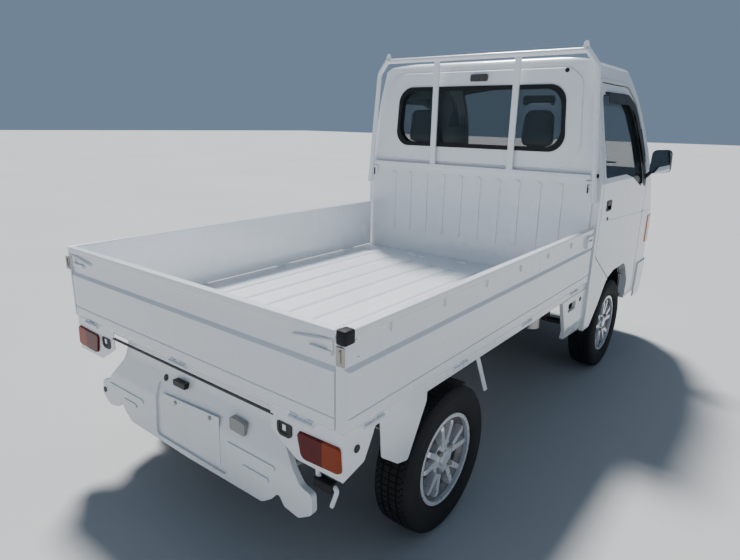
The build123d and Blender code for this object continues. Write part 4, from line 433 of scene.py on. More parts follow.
def turned(name: str, outline: Sequence[Pair], centre: Vector, steps: int) -> Piece:
    """Spins a closed outline round an axle that runs along Y.

    Args:
        name: The piece's name.
        outline: Points of (distance along Y from the centre, radius), once round.
        centre: The middle of the axle.
        steps: Faces round the circle.

    Returns:
        The turned piece.
    """
    deselect()
    first_y, first_r = outline[0]
    bpy.ops.mesh.primitive_plane_add(size=SEED_SIZE, location=centre + Vector((0.0, first_y, first_r)))
    piece = bpy.context.object
    piece.name = name
    bpy.ops.object.mode_set(mode="EDIT")
    bpy.ops.mesh.select_all(action="SELECT")
    bpy.ops.mesh.merge(type="CENTER")
    for (y0, r0), (y1, r1) in zip(outline, [*outline[1:], outline[0]]):
        bpy.ops.mesh.extrude_vertices_move(TRANSFORM_OT_translate={"value": (0.0, y1 - y0, r1 - r0)})
    bpy.ops.mesh.select_all(action="SELECT")
    bpy.ops.mesh.remove_doubles(threshold=MERGE_GAP)
    bpy.ops.mesh.select_all(action="SELECT")
    bpy.ops.mesh.spin(steps=steps, angle=2 * math.pi, center=tuple(centre), axis=(0.0, 1.0, 0.0))
    bpy.ops.mesh.select_all(action="SELECT")
    bpy.ops.mesh.remove_doubles(threshold=MERGE_GAP)
    bpy.ops.mesh.normals_make_consistent(inside=False)
    settle(piece)
    return piece


def copied(piece: Piece, name: str, shift: Vector) -> Piece:
    """Copies a piece with its own mesh to another place.

    Args:
        piece: The piece to copy.
        name: The copy's name.
        shift: How far the copy lies from the piece.

    Returns:
        The copy.
    """
    twin = piece.copy()
    twin.data = piece.data.copy()
    twin.name = name
    twin.data.transform(Matrix.Translation(shift))
    bpy.context.collection.objects.link(twin)
    return twin


def joined(name: str, parts: Iterable[Piece]) -> Piece:
    """Joins parts into one piece.

    Args:
        name: The piece's name.
        parts: The parts, all with their place in their mesh.

    Returns:
        The joined piece.
    """
    members = list(parts)
    deselect()
    for part in members:
        part.select_set(True)
    bpy.context.view_layer.objects.active = members[0]
    if len(members) > 1:
        bpy.ops.object.join()
    members[0].name = name
    members[0].select_set(False)
    return members[0]


def on_surface(node: str, start: Vector, way: Vector) -> tuple[Vector, Vector]:
    """Finds where a line first meets a node.

    Args:
        node: The node's name.
        start: Where the line starts.
        way: Its direction.

    Returns:
        The place on the surface and the surface's outward direction there.
    """
    found, place, normal, _ = bpy.data.objects[node].ray_cast(start, way.normalized())
    if not found:
        raise LookupError(f"no surface of {node} from {tuple(start)}")
    return place.copy(), normal.normalized()


def shaped_block(name: str, low: Vector, high: Vector, edge: float, segments: int = 2) -> Piece:
    """Models a block with softened edges.

    Args:
        name: The piece's name.
        low: Its lower corner.
        high: Its upper corner.
        edge: Width of the softened edges.
        segments: Steps across each softened edge.

    Returns:
        The block.
    """
    deselect()
    bpy.ops.mesh.primitive_cube_add(size=1.0, location=(low + high) / 2, scale=tuple(high - low))
    piece = opened(name)
    bpy.ops.mesh.select_all(action="SELECT")
    bpy.ops.mesh.bevel(offset=edge, segments=segments)
    settle(piece)
    return piece


def cylinder(name: str, start: Vector, end: Vector, radius: float, sides: int) -> Piece:
    """Models a plain cylinder and opens it for editing.

    Args:
        name: The piece's name.
        start: Middle of its first end.
        end: Middle of its second end.
        radius: Its radius.
        sides: Faces round it.

    Returns:
        The cylinder, in edit mode.
    """
    deselect()
    along = end - start
    bpy.ops.mesh.primitive_cylinder_add(vertices=sides, radius=radius, depth=along.length,
                                        location=(start + end) / 2,
                                        rotation=along.to_track_quat("Z", "Y").to_euler())
    return opened(name)


def domed_button(name: str, seat: Vector, out: Vector, radius: float, height: float,
                 sides: int) -> Piece:
    """Models a round button with a domed end, such as a screw head or a plug.

    Args:
        name: The piece's name.
        seat: Where it stands.
        out: The direction it stands in.
        radius: Its radius.
        height: Its height.
        sides: Faces round it.

    Returns:
        The button.
    """
    button = cylinder(name, seat, seat + out * height * DOME_STRAIGHT, radius, sides)
    pick_faces(lambda face: face.normal.dot(out) > FACING)
    for rise, narrowing in DOME_STEPS:
        bpy.ops.mesh.extrude_region_move(TRANSFORM_OT_translate={"value": tuple(out * height * rise)})
        bpy.ops.transform.resize(value=(narrowing, narrowing, narrowing))
    settle(button)
    smooth(button, DOME_CREASE)
    return button


def bar(name: str, start: Vector, end: Vector, radius: float) -> Piece:
    """Models a straight round bar with rounded ends.

    Args:
        name: The piece's name.
        start: Middle of its first end.
        end: Middle of its second end.
        radius: Its radius.

    Returns:
        The bar.
    """
    piece = cylinder(name, start, end, radius, BAR_SIDES)
    along = (end - start).normalized()
    pick_faces(lambda face: abs(face.normal.dot(along)) > FACING)
    bpy.ops.mesh.bevel(offset=radius * BAR_ROUNDING, segments=2)
    settle(piece)
    smooth(piece, BAR_CREASE)
    return piece


def hand_over(piece: Piece, finish: Finish, body: str) -> None:
    """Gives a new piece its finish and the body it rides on.

    Args:
        piece: The new piece.
        finish: Its finish.
        body: The body that carries it.
    """
    finish.dress(piece)
    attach(piece, body)


@dataclass
class Tyres:
    """Road tyres with ribs, grooves and cross sipes."""

    radius: float = AXLE_Z
    width: float = 0.145
    rim_radius: float = 0.170
    # Wall from the bead to the shoulder: inset from the side, height over the rim
    wall: tuple[Pair, ...] = (
        (0.0183, -0.008), (0.0183, 0.001), (0.010, 0.006), (0.004, 0.016), (0.0015, 0.026),
        (0.0022, 0.027), (0.0005, 0.038), (0.0, 0.052), (0.0012, 0.066), (0.0005, 0.068),
        (0.0008, 0.071), (0.004, 0.082), (0.0085, 0.091), (0.0125, 0.0965),
    )
    casing_inset: float = 0.024
    casing_depth: float = 0.030
    tread_half: float = 0.057
    shoulder: float = 0.010
    crown_drop: float = 0.003
    grooves_y: tuple[float, ...] = (-0.029, 0.0, 0.029)
    groove_half: float = 0.0042
    groove_floor_share: float = 0.6
    groove_depth: float = 0.006
    crease: float = 28.0
    steps: int = 288
    sipe_every: int = 4
    sipe_edge: float = 0.0019
    sipe_depth: float = 0.0035
    sipe_level: float = 0.25
    road_depth: float = 0.0042
    rib_half: float = 0.012

    def outline(self) -> list[Pair]:
        """Lists the section's points, from the inner bead round the tread to the outer bead.

        Returns:
            Points of (distance along the axle, radius).
        """
        half, top, rim = self.width / 2, self.radius, self.rim_radius
        wall = [(half - inset, rim + height) for inset, height in self.wall]
        road = [(y, top - self.crown(y)) for y in (self.tread_half, self.tread_half - self.shoulder)]
        edge, floor = self.groove_half, self.groove_half * self.groove_floor_share
        across = ((edge, 0.0), (floor, self.groove_depth), (-floor, self.groove_depth), (-edge, 0.0))
        for groove in sorted(self.grooves_y, reverse=True):
            for offset, depth in across:
                y = groove + offset
                road.append((y, top - self.crown(y) - depth))
        road += [(-y, r) for y, r in reversed(road[:2])]
        casing, bead, roof = half - self.casing_inset, wall[0][1], top - self.casing_depth
        inside = [(-casing, bead), (-casing, roof), (casing, roof), (casing, bead)]
        return wall + road + [(-y, r) for y, r in reversed(wall)] + inside

    def crown(self, y: float) -> float:
        """Gives how far the tread lies below the full radius at a distance from its middle."""
        return self.crown_drop * (y / self.tread_half) ** 2

    def build(self) -> None:
        """Makes one tyre and copies it to the four wheels."""
        boxes = {f"{end}_{side}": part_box(f"tyre_{end}_{side}") for end in AXLES_X for side in SIDES}
        centres = {key: (Vector(low) + Vector(high)) / 2 for key, (low, high) in boxes.items()}
        first = next(iter(centres))
        master = turned("tread_master", self.outline(), centres[first], self.steps)
        self.sipe(master, centres[first])
        smooth(master, self.crease)
        TYRE_RUBBER.dress(master)
        for key, centre in centres.items():
            tyre = copied(master, f"tread_tyre_{key}", centre - centres[first])
            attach(tyre, f"wheel_{key}")
            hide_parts(f"tyre_{key}")
        bpy.data.objects.remove(master)

    def sipe(self, tyre: Piece, centre: Vector) -> None:
        """Cuts cross sipes into the ribs at every few faces.

        Args:
            tyre: The tyre to cut.
            centre: Its centre.
        """
        activate(tyre)
        bpy.ops.object.mode_set(mode="EDIT")
        sector = 2 * math.pi / self.steps

        def wanted(face: bmesh.types.BMFace) -> bool:
            """Says whether a face lies on a rib's road surface in a sipe's sector.

            Args:
                face: The face.

            Returns:
                True where a sipe is cut.
            """
            offset = face.calc_center_median() - centre
            radius = math.hypot(offset.x, offset.z)
            index = int(round(math.atan2(offset.z, offset.x) / sector - 0.5))
            on_road = radius > self.radius - self.road_depth and abs(face.normal.y) < self.sipe_level
            on_shoulder = abs(offset.y) > self.tread_half - self.rib_half
            beside_middle = abs(offset.y) > self.rib_half
            row = 0 if on_shoulder else (1 if beside_middle else 2)
            return on_road and (index + row * 2) % self.sipe_every == 0

        pick_faces(wanted)
        bpy.ops.mesh.inset(thickness=self.sipe_edge, use_individual=True)
        bpy.ops.transform.shrink_fatten(value=-self.sipe_depth)
        settle(tyre)


@dataclass
class WheelFittings:
    """Lug nuts on the alloy wheels."""

    nuts: int = 4
    nut_sides: int = 6
    pitch_radius: float = 0.050
    nut_across: float = 0.0105
    nut_height: float = 0.016
    hub_plane: float = 0.688
    end_inset: float = 0.25
    end_rise: float = 0.003
    edge: float = 0.0008

    def nut(self, centre: Vector, outward: int) -> Piece:
        """Models one hexagonal nut with a raised end and broken edges.

        Args:
            centre: Middle of its seat.
            outward: Sign of the side it faces.

        Returns:
            The nut.
        """
        deselect()
        bpy.ops.mesh.primitive_cylinder_add(vertices=self.nut_sides, radius=self.nut_across,
                                            depth=self.nut_height,
                                            location=centre + Vector((0, outward * self.nut_height / 2, 0)),
                                            rotation=(math.pi / 2, 0, 0))
        nut = opened("nut")
        end = centre.y + outward * self.nut_height
        pick_faces(lambda face: abs(face.calc_center_median().y - end) < MERGE_GAP)
        bpy.ops.mesh.inset(thickness=self.nut_across * self.end_inset)
        bpy.ops.mesh.extrude_region_move(TRANSFORM_OT_translate={"value": (0, outward * self.end_rise, 0)})
        bpy.ops.mesh.select_all(action="SELECT")
        bpy.ops.mesh.bevel(offset=self.edge, segments=1)
        settle(nut)
        return nut

    def build(self) -> None:
        """Sets the nuts on each wheel."""
        for end, x in AXLES_X.items():
            for side, sign in SIDES.items():
                nuts = []
                for index in range(self.nuts):
                    angle = 2 * math.pi * (index + 0.5) / self.nuts
                    seat = Vector((x + self.pitch_radius * math.cos(angle), sign * self.hub_plane,
                                   AXLE_Z + self.pitch_radius * math.sin(angle)))
                    nuts.append(self.nut(seat, sign))
                hand_over(joined(f"lug_nuts_{end}_{side}", nuts), STEEL, f"wheel_{end}_{side}")


@dataclass
class Seats:
    """Cushions, backs and headrests in cloth, swollen by simulation."""

    voxel: float = 0.011
    frames: int = 14
    pressure: float = 4.0
    limit: float = 0.014
    shrink: float = 0.006
    back_top: float = 1.290
    inner_y: float = 0.090
    floor_gap: float = 0.002
    # How far each kind of pad comes in at its top
    cushion_taper: float = 0.020
    back_taper: float = 0.035
    rest_taper: float = 0.010
    # Back: inset from the rear and from the front of its solid
    back_insets: Pair = (0.024, 0.010)
    rests_y: dict[str, float] = field(default_factory=lambda: {"left": 0.390, "right": -0.345})
    # Headrest: rear and front from the rear of the back's solid
    rest_x: Pair = (0.004, 0.070)
    rest_half: float = 0.088
    rest_gap: float = 0.030
    post_x: float = 0.036
    post_half: float = 0.045
    post_radius: float = 0.006
    # How deep a post stands in the back and in the headrest
    post_sunk: Pair = (0.040, 0.030)
    corner: float = 0.040
    corner_steps: int = 5
    end_bevel: float = 0.24
    end_steps: int = 3
    crease: float = 60.0

    def pad(self, name: str, low: Vector, high: Vector, top_in: float) -> Piece:
        """Models one pad, narrower at its top and rounded.

        Args:
            name: The pad's name.
            low: Lower corner of its space.
            high: Upper corner of its space.
            top_in: How far each side comes in at the top.

        Returns:
            The pad.
        """
        deselect()
        size = high - low
        bpy.ops.mesh.primitive_cube_add(size=1.0, location=(low + high) / 2, scale=tuple(size))
        pad = opened(name)
        pick_faces(lambda face: face.normal.z > FACING)
        bpy.ops.transform.resize(value=(1 - 2 * top_in / size.x, 1 - 2 * top_in / size.y, 1.0))
        self.pick_edges_along_x()
        bpy.ops.mesh.bevel(offset=self.corner, segments=self.corner_steps)
        pick_faces(lambda face: abs(face.normal.x) > FACING)
        bpy.ops.mesh.bevel(offset=min(size) * self.end_bevel, segments=self.end_steps)
        settle(pad)
        return pad

    def pick_edges_along_x(self) -> None:
        """Selects the four edges that run along the truck."""
        bpy.ops.mesh.select_mode(type="EDGE")
        bpy.ops.mesh.select_all(action="DESELECT")
        mesh = bmesh.from_edit_mesh(bpy.context.object.data)
        for edge in mesh.edges:
            along = edge.verts[1].co - edge.verts[0].co
            edge.select_set(abs(along.x) > FACING * along.length)
        mesh.select_flush_mode()
        bmesh.update_edit_mesh(bpy.context.object.data)

    def swell(self, pad: Piece) -> None:
        """Blows a pad up a little, as stuffing does, and keeps each point near its start.

        Args:
            pad: The pad to swell.
        """
        activate(pad)
        remesh = pad.modifiers.new("even_cells", "REMESH")
        remesh.mode = "VOXEL"
        remesh.voxel_size = self.voxel
        bpy.ops.object.modifier_apply(modifier=remesh.name)
        start = [vertex.co.copy() for vertex in pad.data.vertices]
        cloth = pad.modifiers.new("stuffing", "CLOTH")
        cloth.settings.use_pressure = True
        cloth.settings.uniform_pressure_force = self.pressure
        cloth.settings.effector_weights.gravity = 0.0
        for frame in range(1, self.frames + 1):
            bpy.context.scene.frame_set(frame)
        bpy.ops.object.modifier_apply(modifier=cloth.name)
        for vertex, origin in zip(pad.data.vertices, start):
            shift = vertex.co - origin
            if shift.length > self.limit:
                vertex.co = origin + shift.normalized() * self.limit
        bpy.context.scene.frame_set(1)
        smooth(pad, self.crease)

    def rest_posts(self, side: str, x: float, middle: float) -> None:
        """Stands a headrest's two posts in its seat back.

        Args:
            side: Name of the side.
            x: Where the posts stand along the truck.
            middle: Where the headrest's middle lies across it.
        """
        foot, head = self.back_top - self.post_sunk[0], self.back_top + self.rest_gap + self.post_sunk[1]
        posts = [bar("rest_post", Vector((x, y, foot)), Vector((x, y, head)), self.post_radius)
                 for y in (middle - self.post_half, middle + self.post_half)]
        hand_over(joined(f"headrest_posts_{side}", posts), CHROME, "chassis")

    def build(self) -> None:
        """Makes the pads over the CAD seats and gives them cloth."""
        low, high = (Vector(corner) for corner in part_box("seat_cushions"))
        back_low, back_high = (Vector(corner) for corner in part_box("seat_backs"))
        shrink, top = self.shrink, self.back_top
        for side, sign in SIDES.items():
            y_low, y_high = sorted((sign * (self.inner_y + shrink), sign * (high.y - shrink)))
            cushion = self.pad(f"seat_cushion_{side}",
                               Vector((low.x + shrink, y_low, low.z + self.floor_gap)),
                               Vector((high.x - shrink, y_high, high.z - shrink)), self.cushion_taper)
            back = self.pad(f"seat_back_{side}",
                            Vector((back_low.x + self.back_insets[0], y_low, back_low.z + self.floor_gap)),
                            Vector((back_high.x - self.back_insets[1], y_high, top - shrink)),
                            self.back_taper)
            middle = self.rests_y[side]
            rest_rear, rest_front = (back_low.x + offset for offset in self.rest_x)
            rest = self.pad(f"headrest_{side}",
                            Vector((rest_rear, middle - self.rest_half, top + self.rest_gap)),
                            Vector((rest_front, middle + self.rest_half, back_high.z - shrink)),
                            self.rest_taper)
            self.rest_posts(side, back_low.x + self.post_x, middle)
            for piece, node in ((cushion, "seat_cushions"), (back, "seat_backs"), (rest, "seat_backs")):
                self.swell(piece)
                SEAT_CLOTH.dress(piece)
                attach(piece, "chassis")
                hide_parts(node)


@dataclass(frozen=True)
class ButtonRow:
    """Like buttons on one body: screw heads, plugs or buffers."""

    name: str
    body: str
    node: str
    way: Place
    starts: tuple[Place, ...]
    radius: float
    height: float
    finish: Finish
    slot: str
    sides: int = 16
    sunk: float = 0.0005

    def build(self) -> None:
        """Sets each button on the node's surface and joins them."""
        buttons = []
        for start in self.starts:
            seat, out = on_surface(self.node, Vector(start), Vector(self.way))
            foot = seat - out * self.sunk
            buttons.append(domed_button(self.name, foot, out, self.radius, self.height, self.sides))
        hand_over(joined(self.name, buttons), self.finish, self.body)


def mirrored(starts: Iterable[Place]) -> tuple[Place, ...]:
    """Gives places on the right together with their twins on the left."""
    return tuple((x, sign * y, z) for x, y, z in starts for sign in (1, -1))


@dataclass
class Buttons:
    """All the screw heads, plugs and buffers."""

    rows: tuple[ButtonRow, ...] = (
        # name, body, node, way to look, places to look from, radius, height, finish, slot, faces round
        ButtonRow("rear_plate_screws", "chassis", "plates", (1, 0, 0),
                  ((-1.8, 0.088, 0.452), (-1.8, -0.110, 0.463)), 0.0075, 0.006, STEEL, "steel"),
        ButtonRow("front_plate_screws", "chassis", "plates", (-1, 0, 0),
                  mirrored([(1.8, 0.105, 0.508)]), 0.0075, 0.0015, STEEL, "steel"),
        ButtonRow("headlamp_bowls", "chassis", "headlamps", (-1, 0, 0),
                  mirrored([(1.9, 0.540, 0.774)]), 0.052, 0.003, CHROME, "clear_lens", 48),
        ButtonRow("guard_foot_bolts", "chassis", "guard_frame", (1, 0, 0),
                  mirrored([(0.1, 0.681, 1.142)]), 0.009, 0.007, WHITE_PAINT, "white_paint"),
        ButtonRow("aerial_plug", "chassis", "cab_shell", (1, 0, 0),
                  ((0.1, -0.4954, 1.699),), 0.011, 0.006, BLACK_RUBBER, "black_rubber"),
        ButtonRow("guard_buffer", "chassis", "guard_frame", (0, 1, 0),
                  ((0.2497, -0.9, 1.194),), 0.011, 0.009, BLACK_RUBBER, "black_rubber"),
        ButtonRow("gate_screws_right", "side_gate_right", "side_gate_right", (0, 1, 0),
                  ((-1.633, -0.9, 0.896), (-1.623, -0.9, 0.846)), 0.0045, 0.003, CHROME, "steel"),
        ButtonRow("gate_screws_left", "side_gate_left", "side_gate_left", (0, -1, 0),
                  ((-1.633, 0.9, 0.896), (-1.623, 0.9, 0.846)), 0.0045, 0.003, CHROME, "steel"),
    )

    def build(self) -> None:
        """Sets each row."""
        for row in self.rows:
            row.build()


@dataclass(frozen=True)
class Block:
    """A block with softened edges on the chassis."""

    name: str
    low: Place
    high: Place
    edge: float
    finish: Finish
    slot: str

    def build(self) -> None:
        """Models the block and hands it over."""
        block = shaped_block(self.name, Vector(self.low), Vector(self.high), self.edge)
        hand_over(block, self.finish, "chassis")


@dataclass
class BedFittings:
    """Corner cap, catch plates, rope hooks, catch pins and hook mount of the bed, and a grey strip of
    painted shadow at the rear panel's top.
    """

    cap_low: Place = (-1.6925, -0.7365, 0.898)
    cap_high: Place = (-1.652, -0.7025, 0.938)
    cap_edge: float = 0.006
    cap_steps: int = 3
    cap_crease: float = 40.0
    plate_x: Pair = (-1.6915, -1.6875)
    plate_y: Pair = (0.704, 0.732)
    plate_z: Pair = (0.842, 0.894)
    plate_edge: float = 0.001
    staple_radius: float = 0.0032
    staple_proud: float = 0.001
    # Staple: inset from the plate's lower and upper ends
    staple_insets: Pair = (0.010, 0.008)
    pin_x: float = 0.2465
    pin_y: float = 0.676
    pin_z: Pair = (1.106, 1.150)
    pin_radius: float = 0.004
    blocks: tuple[Block, ...] = (
        # name, lower corner, upper corner, edge, finish, slot
        Block("rope_hook_left", (-1.6812, 0.492, 0.576), (-1.6775, 0.506, 0.596), 0.0015, WHITE_PAINT,
              "white_paint"),
        Block("rope_hook_right", (-1.6812, -0.506, 0.576), (-1.6775, -0.492, 0.596), 0.0015, WHITE_PAINT,
              "white_paint"),
        # Thin grey strip in the joint under the bed's rear sill: painted shadow of the gap there, not a seal
        Block("panel_top_seal", (-1.6785, -0.452, 0.6065), (-1.668, 0.452, 0.6115), 0.001, GREY_PLASTIC,
              "black_rubber"),
        Block("hook_mount", (-1.680, -0.678, 0.444), (-1.652, -0.610, 0.474), 0.004, BLACK_RUBBER,
              "black_rubber"),
    )

    def corner_cap(self) -> None:
        """Fits the rubber cap over the right gate's rear top corner."""
        cap = shaped_block("gate_corner_cap", Vector(self.cap_low), Vector(self.cap_high), self.cap_edge,
                           self.cap_steps)
        smooth(cap, self.cap_crease)
        hand_over(cap, BLACK_RUBBER, "side_gate_right")

    def catch_plate(self, side: str, sign: int) -> None:
        """Fits the steel plate and staple that the tailgate's bolt enters.

        Args:
            side: Name of the side.
            sign: Sign of its Y.
        """
        x_low, x_high = self.plate_x
        y_low, y_high = sorted(sign * y for y in self.plate_y)
        z_low, z_high = self.plate_z
        plate = shaped_block("catch_plate", Vector((x_low, y_low, z_low)), Vector((x_high, y_high, z_high)),
                             self.plate_edge)
        middle, staple_x = (y_low + y_high) / 2, x_low - self.staple_proud
        staple = bar("staple", Vector((staple_x, middle, z_low + self.staple_insets[0])),
                     Vector((staple_x, middle, z_high - self.staple_insets[1])), self.staple_radius)
        hand_over(joined(f"catch_plate_{side}", [plate, staple]), STEEL, f"side_gate_{side}")

    def catch_pin(self, side: str, sign: int) -> None:
        """Fits the dark pin that holds the side gate's chain at the headboard.

        Args:
            side: Name of the side.
            sign: Sign of its Y.
        """
        low, high = (Vector((self.pin_x, sign * self.pin_y, z)) for z in self.pin_z)
        pin = bar(f"headboard_pin_{side}", low, high, self.pin_radius)
        hand_over(pin, BLACK_PLASTIC, "chassis")

    def build(self) -> None:
        """Makes the bed's fittings."""
        self.corner_cap()
        for side, sign in SIDES.items():
            self.catch_plate(side, sign)
            self.catch_pin(side, sign)
        for block in self.blocks:
            block.build()


@dataclass
class CabFittings:
    """Gear lever and hand brake, which show through the glass."""

    lever_foot: Place = (1.02, 0.0, 0.69)
    lever_top: Place = (0.98, 0.0, 0.90)
    lever_radius: float = 0.006
    # Radius, height and faces round of the parts with domed ends
    gaiter: tuple[float, float, int] = (0.045, 0.070, 24)
    knob: tuple[float, float, int] = (0.018, 0.045, 20)
    sunk: float = 0.010
    brake_foot: Place = (0.60, 0.0, 0.70)
    brake_top: Place = (0.84, 0.0, 0.80)
    brake_radius: float = 0.008
    grip_radius: float = 0.015
    # Grip: where it starts and how far it goes past the rod, as shares of the rod
    grip_share: Pair = (0.55, 0.05)

    def lever(self) -> None:
        """Stands the gear lever with its knob and gaiter."""
        foot, top = Vector(self.lever_foot), Vector(self.lever_top)
        up = (top - foot).normalized()
        gaiter = domed_button("gaiter", foot - up * self.sunk, up, *self.gaiter)
        knob = domed_button("knob", top - up * self.sunk, up, *self.knob)
        rod = bar("gear_rod", foot, top, self.lever_radius)
        hand_over(joined("gear_lever", [gaiter, rod, knob]), BLACK_PLASTIC, "chassis")

    def hand_brake(self) -> None:
        """Lays the hand brake between the seats."""
        foot, top = Vector(self.brake_foot), Vector(self.brake_top)
        start, past = self.grip_share
        rod = bar("brake_rod", foot, top, self.brake_radius)
        grip = bar("brake_grip", foot.lerp(top, start), top + (top - foot) * past, self.grip_radius)
        hand_over(joined("hand_brake", [rod, grip]), BLACK_PLASTIC, "chassis")

    def build(self) -> None:
        """Makes the cab's fittings."""
        self.lever()
        self.hand_brake()


@dataclass
class Exhaust:
    """Pipe from the engine to the silencer and its tail pipe."""

    radius: float = 0.017
    tail_radius: float = 0.019
    silencer_x: float = -1.588
    silencer_z: float = 0.380
    end_inset: float = 0.010
    # Front pipe: steps from the silencer's right end, then places beside the engine
    front_steps: tuple[Place, ...] = ((0.0, 0.0, 0.0), (0.02, -0.045, -0.02), (0.16, -0.05, -0.045))
    engine_places: tuple[Place, ...] = ((-1.34, -0.30, 0.33), (-1.30, -0.225, 0.345))
    # Tail pipe: steps from the silencer's left end
    tail_steps: tuple[Place, ...] = ((0.015, -0.06, -0.030), (0.012, -0.05, -0.075), (-0.045, -0.05, -0.082))

    def build(self) -> None:
        """Bends the two pipes and joins them."""
        low, high = (Vector(corner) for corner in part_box("silencer"))
        right = Vector((self.silencer_x, low.y + self.end_inset, self.silencer_z))
        left = Vector((self.silencer_x, high.y, self.silencer_z))
        front = [right + Vector(step) for step in self.front_steps]
        front += [Vector(place) for place in self.engine_places]
        tail = [left + Vector(step) for step in self.tail_steps]
        pipes = []
        for points, radius in ((front, self.radius), (tail, self.tail_radius)):
            for start, end in zip(points, points[1:]):
                pipes.append(bar("pipe", start, end, radius))
        hand_over(joined("exhaust_pipe", pipes), STEEL, "chassis")


@dataclass
class Studio:
    """Plain floor, daylight and the photo's camera."""

    eye: Place = (-2.663, -1.560, 1.430)
    yaw: float = 37.77
    pitch: float = -15.72
    roll: float = 1.17
    focal_px: float = 561.17
    photo_width: float = 740.0
    sensor: float = 36.0
    floor_half: float = 60.0
    key_rise: float = 60.0
    key_turn: float = 52.0
    key_strength: float = 6.6
    key_spread: float = 9.0
    key_distance: float = 8.0
    # Soft lamps: name, place, power, size
    lamps: tuple[tuple[str, Place, float, float], ...] = (
        ("rear_light", (-5.5, 1.5, 3.6), 6.0, 4.5),
        ("side_light", (-1.5, -6.0, 3.4), 10.0, 4.5),
    )
    lit_middle: Place = (0.0, 0.0, 0.8)
    surround_colour: Place = (0.50, 0.71, 1.0)
    surround_strength: float = 0.32

    def camera(self) -> None:
        """Sets the camera at the photo's place and turn."""
        yaw, pitch, roll = (math.radians(a) for a in (self.yaw, self.pitch, self.roll))
        ahead = Vector((math.cos(yaw) * math.cos(pitch), math.sin(yaw) * math.cos(pitch), math.sin(pitch)))
        right = ahead.cross(Vector((0, 0, 1))).normalized()
        up = right.cross(ahead)
        tilted_right = right * math.cos(roll) + up * math.sin(roll)
        tilted_up = up * math.cos(roll) - right * math.sin(roll)
        deselect()
        bpy.ops.object.camera_add(location=self.eye)
        camera = bpy.context.object
        turn = Matrix((tilted_right, tilted_up, -ahead)).transposed()
        camera.matrix_world = Matrix.Translation(self.eye) @ turn.to_4x4()
        camera.data.lens = self.focal_px / self.photo_width * self.sensor
        camera.data.sensor_width = self.sensor
        bpy.context.scene.camera = camera

    def floor(self) -> None:
        """Lays the plain floor."""
        deselect()
        bpy.ops.mesh.primitive_plane_add(size=2 * self.floor_half, location=(0, 0, 0))
        ground = bpy.context.object
        ground.name = "studio_floor"
        settle(ground)
        STUDIO_FLOOR.dress(ground)

    def lights(self) -> None:
        """Hangs the key light and the soft lamps, and sets the even surround."""
        rise, turn = math.radians(self.key_rise), math.radians(self.key_turn)
        towards = Vector((math.cos(rise) * math.cos(turn), math.cos(rise) * math.sin(turn), math.sin(rise)))
        bpy.ops.object.light_add(type="SUN", location=towards * self.key_distance)
        key = bpy.context.object
        key.name = "key_light"
        key.data.energy = self.key_strength
        key.data.angle = math.radians(self.key_spread)
        key.rotation_euler = towards.to_track_quat("Z", "Y").to_euler()
        for name, place, power, size in self.lamps:
            bpy.ops.object.light_add(type="AREA", location=place)
            lamp = bpy.context.object
            lamp.name = name
            lamp.data.energy = power
            lamp.data.size = size
            aim = Vector(self.lit_middle) - Vector(place)
            lamp.rotation_euler = aim.to_track_quat("-Z", "Y").to_euler()
        world = bpy.data.worlds.new("studio_surround")
        world.use_nodes = True
        background = world.node_tree.nodes["Background"]
        background.inputs["Color"].default_value = (*self.surround_colour, 1.0)
        background.inputs["Strength"].default_value = self.surround_strength
        bpy.context.scene.world = world

    def build(self) -> None:
        """Sets up the whole studio."""
        self.floor()
        self.lights()
        self.camera()


